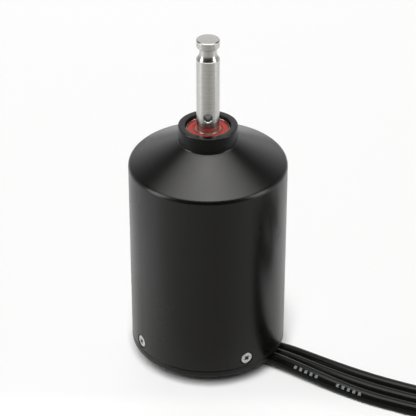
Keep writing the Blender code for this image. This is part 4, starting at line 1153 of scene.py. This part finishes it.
def make_shaft():
    """Shaft with its cross hole, flared neck and flat head."""
    head_z = SHAFT_TOP - HEAD_HEIGHT
    flare_z = head_z - NECK_HEIGHT
    clip_low, clip_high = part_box("rotor_circlip")
    groove_low, groove_high = clip_low.z - CIRCLIP_GAP, clip_high.z + CIRCLIP_GAP
    groove_r = SHAFT_R - 0.45 * MM
    flare = []
    for i in range(FLARE_STEPS + 1):
        angle = math.pi + FLARE_TURN * (1 - i / FLARE_STEPS)
        across, up = FLARE_R * math.cos(angle), FLARE_R * math.sin(angle)
        flare.append((NECK_R + FLARE_R + across, flare_z + up, 0))
    nose_z = flare[0][1] - (SHAFT_R - flare[0][0]) / math.tan(FLARE_TURN)
    corners = [
        (0, SHAFT_LOW.z, 0), (SHAFT_R, SHAFT_LOW.z, 0.25 * MM), (SHAFT_R, groove_low, 0),
        (groove_r, groove_low, 0), (groove_r, groove_high, 0), (SHAFT_R, groove_high, 0),
        (SHAFT_R, nose_z, 0.06 * MM), (SHAFT_R - 0.16 * MM, nose_z + 0.08 * MM, 0.05 * MM),
    ]
    corners += flare
    corners += [
        (NECK_R, head_z, 0.06 * MM), (SHAFT_R, head_z, 0.27 * MM),
        (SHAFT_R, SHAFT_TOP - 0.15 * MM, 0.04 * MM), (SHAFT_R - 0.2 * MM, SHAFT_TOP, 0.04 * MM),
        (0, SHAFT_TOP, 0),
    ]
    depth = SHAFT_R - 0.23 * MM
    drill = [
        (0, -SHAFT_R - MM), (CROSS_HOLE_MOUTH, -SHAFT_R - MM), (CROSS_HOLE_MOUTH, -SHAFT_R),
        (CROSS_HOLE_R, -depth), (CROSS_HOLE_R, depth), (CROSS_HOLE_MOUTH, SHAFT_R),
        (CROSS_HOLE_MOUTH, SHAFT_R + MM), (0, SHAFT_R + MM),
    ]
    place = Matrix.Translation((0, 0, CROSS_HOLE_Z)) @ LYING
    mesh = combine(turned(soften(corners, 4), MIDDLE_STEPS), [(turned(drill, MIDDLE_STEPS), place)])
    shaft = show("output_shaft", mesh, LOOKS["polished_steel"], "rotor", "polished_steel", "shaft")
    # The cross hole's wall takes the darker steel: painted shade in the hole
    shaft.data.materials.append(HOLE_SHADED_STEEL)
    for face in shaft.data.polygons:
        face.material_index = int(in_cross_hole(face))


def make_front_bearing():
    """The rings and the red seal that show in the collar."""
    outer = BEARING_R - 0.15 * MM
    low, high = RACE_LOW.z, RACE_HIGH.z
    corners = [
        (RACE_BORE, low, 0), (outer, low, 0.15 * MM), (outer, high, 0.15 * MM),
        (RACE_EDGE_R, high, 0.05 * MM), (RACE_EDGE_R, high - RACE_LIP, 0),
        (RACE_BORE, high - RACE_LIP, 0),
    ]
    show("front_race", turned(soften(corners, 3), MIDDLE_STEPS), LOOKS["bearing_steel"], "case",
         "bearing_steel", "front_bearing_outer_ring")
    ring_top = SEAL_HIGH.z + 0.02 * MM
    bore = SHAFT_R + 0.03 * MM
    corners = [
        (bore, low, 0), (INNER_RACE_R, low, 0), (INNER_RACE_R, ring_top, 0.03 * MM),
        (INNER_FLAT_R, ring_top, 0.02 * MM), (bore, ring_top - 0.14 * MM, 0),
    ]
    show("front_inner_race", turned(soften(corners, 3), MIDDLE_STEPS), LOOKS["bearing_steel"], "rotor",
         "bearing_steel", "front_bearing_inner_ring")
    low, high = SEAL_LOW.z, SEAL_HIGH.z
    groove = high - SEAL_GROOVE_DEPTH
    corners = [
        (SEAL_INNER_R, low, 0), (SEAL_OUTER_R, low, 0), (SEAL_OUTER_R, high - 0.1 * MM, 0.05 * MM),
        (4.4 * MM, high, 0.05 * MM), (3.34 * MM, high, 0.05 * MM), (3.28 * MM, groove, 0.04 * MM),
        (3.14 * MM, groove, 0.04 * MM), (3.1 * MM, high - 0.03 * MM, 0.03 * MM),
        (SEAL_INNER_R, high - 0.06 * MM, 0.03 * MM),
    ]
    show("front_seal", turned(soften(corners, 3), MIDDLE_STEPS), LOOKS["red_rubber"], "case",
         "red_rubber", "front_bearing_front_seal")


def make_floor():
    """A wide pale floor whose colour is painted darker for glossy rays: a painted dark reflection in
    front, painted shade at the base and a painted shadow by the leads.
    """
    look = Nodes("floor", FLOOR_COLOR, 0.6, Specular_IOR_Level=0.1)
    spot = look.split(look.place())
    forward = look.math("MULTIPLY", spot["Y"], -1)
    sideways = look.math("ABSOLUTE", look.math("MULTIPLY_ADD", spot["Y"], FRONT_SKEW, spot["X"]))
    ahead = look.span(forward, 0, 1, *FRONT_DEPTHS)
    narrow = look.span(look.math("DIVIDE", sideways, forward), 1, 0, 0.0, FRONT_WIDEST_SLANT)
    behind = look.less(look.math("MULTIPLY", ahead, narrow))
    away = look.span(look.radius(), BASE_PAINTED_SHADE, 1, BODY_R, BASE_SHADE_END)
    across = look.add("ShaderNodeVectorMath", operation="DOT_PRODUCT")
    look.join(look.place(), across.inputs[0])
    across.inputs[1].default_value = LEAD_LINE_NORMAL
    offset = look.math("SUBTRACT", across.outputs["Value"], LEAD_LINE_OFFSET)
    clear = look.span(look.math("ABSOLUTE", offset), LEAD_PAINTED_SHADOW, 1, *LEAD_SHADE_EDGES)
    left = look.span(spot["X"], 1, 0, *LEAD_SHADE_START)
    open_floor = look.math("MULTIPLY", behind, away)
    unshaded = look.math("MULTIPLY", open_floor, look.math("MAXIMUM", clear, left))
    rays = look.add("ShaderNodeLightPath").outputs
    # Painted shade for glossy rays only: darker in front, round the base and beside the leads
    painted_shade = look.math("MULTIPLY", look.less(unshaded), rays["Is Glossy Ray"])
    look.color(look.mix(painted_shade, FLOOR_COLOR, FLOOR_PAINTED_SHADE_COLOR))
    distant = look.span(spot["Y"], 0, FAR_WHITE, *FAR_DEPTHS)
    close = look.span(spot["Y"], NEAR_WHITE, 0, *NEAR_DEPTHS)
    seen = look.math("MULTIPLY", look.math("MAXIMUM", distant, close), rays["Is Camera Ray"])
    look.set("Emission Color", (1, 1, 1, 1))
    look.join(seen, look.shader.inputs["Emission Strength"])
    bm = bmesh.new()
    bmesh.ops.create_grid(bm, x_segments=1, y_segments=1, size=FLOOR_HALF_SIZE)
    mesh = bpy.data.meshes.new("floor")
    bm.to_mesh(mesh)
    bm.free()
    mesh.materials.append(look.material)
    floor = link(bpy.data.objects.new("floor", mesh))


def area_light(name, place, target, size, power, glossy=True, diffuse=True):
    """A rectangular lamp, slightly warm where it shows in reflections."""
    data = bpy.data.lights.new(name, "AREA")
    data.shape = "RECTANGLE"
    data.size, data.size_y = size
    data.energy = power
    data.color = LAMP_COLOR if glossy else (1, 1, 1)
    lamp = link(bpy.data.objects.new(name, data))
    lamp.location = place
    lamp.rotation_mode = "QUATERNION"
    lamp.rotation_quaternion = (Vector(target) - Vector(place)).to_track_quat("-Z", "Y")
    lamp.visible_glossy = glossy
    lamp.visible_diffuse = diffuse
    return lamp


def make_world():
    """A room that is bright near the horizon, and dark overhead and behind the camera."""
    world = bpy.data.worlds.new("world")
    bpy.context.scene.world = world
    world.use_nodes = True
    tree = world.node_tree
    background = tree.nodes["Background"]
    place = tree.nodes.new("ShaderNodeTexCoord")
    split = tree.nodes.new("ShaderNodeSeparateXYZ")
    tree.links.new(place.outputs["Generated"], split.inputs["Vector"])
    ramps = []
    stretches = (
        ("Z", WORLD_HEIGHT_STOPS), ("Y", WORLD_DEPTH_STOPS),
        ("Z", WORLD_SIDE_HEIGHT_STOPS), ("Y", WORLD_SIDE_DEPTH_STOPS),
    )
    for axis, stops in stretches:
        ramp = tree.nodes.new("ShaderNodeMapRange")
        ramp.interpolation_type = "SMOOTHSTEP"
        for label, number in zip(("From Min", "From Max", "To Min", "To Max"), stops):
            ramp.inputs[label].default_value = number
        tree.links.new(split.outputs[axis], ramp.inputs["Value"])
        ramps.append(ramp.outputs["Result"])
    zones = []
    for first, second in (ramps[:2], ramps[2:]):
        zone = tree.nodes.new("ShaderNodeMath")
        zone.operation = "MULTIPLY"
        tree.links.new(first, zone.inputs[0])
        tree.links.new(second, zone.inputs[1])
        zones.append(zone.outputs[0])
    brighter = tree.nodes.new("ShaderNodeMath")
    brighter.operation = "MAXIMUM"
    tree.links.new(zones[0], brighter.inputs[0])
    tree.links.new(zones[1], brighter.inputs[1])
    tree.links.new(brighter.outputs[0], background.inputs["Color"])
    background.inputs["Strength"].default_value = WORLD_STRENGTH


def low_pieces():
    """The pieces near the floor. Only they shade the key lamp, so that no long shadow is cast."""
    low = bpy.data.collections.new("low_pieces")
    for piece in bpy.data.objects:
        if piece.name.startswith(LOW_PIECES):
            low.objects.link(piece)
    return low


def make_light():
    """A softbox overhead for the gloss, a large one high in front, and a panel on each side."""
    make_world()
    overhead = area_light(
        "overhead", OVERHEAD_PLACE, OVERHEAD_TARGET, OVERHEAD_SIZE, OVERHEAD_POWER, diffuse=False,
    )
    overhead.data.spread = OVERHEAD_SPREAD
    key = area_light("key", KEY_PLACE, (0, 0, 0), KEY_SIZE, KEY_POWER, glossy=False)
    key.light_linking.blocker_collection = low_pieces()
    for name, side, power in (("left_panel", -1, LEFT_POWER), ("right_panel", 1, RIGHT_POWER)):
        place = (side * PANEL_PLACE[0], *PANEL_PLACE[1:])
        area_light(name, place, PANEL_TARGET, PANEL_SIZE, power, diffuse=False)


dress_inner_pieces()
make_camera()
make_leads()
make_housing()
make_cover()
make_screws()
make_shaft()
make_front_bearing()
make_floor()
make_light()

bpy.context.scene.view_settings.view_transform = "Standard"
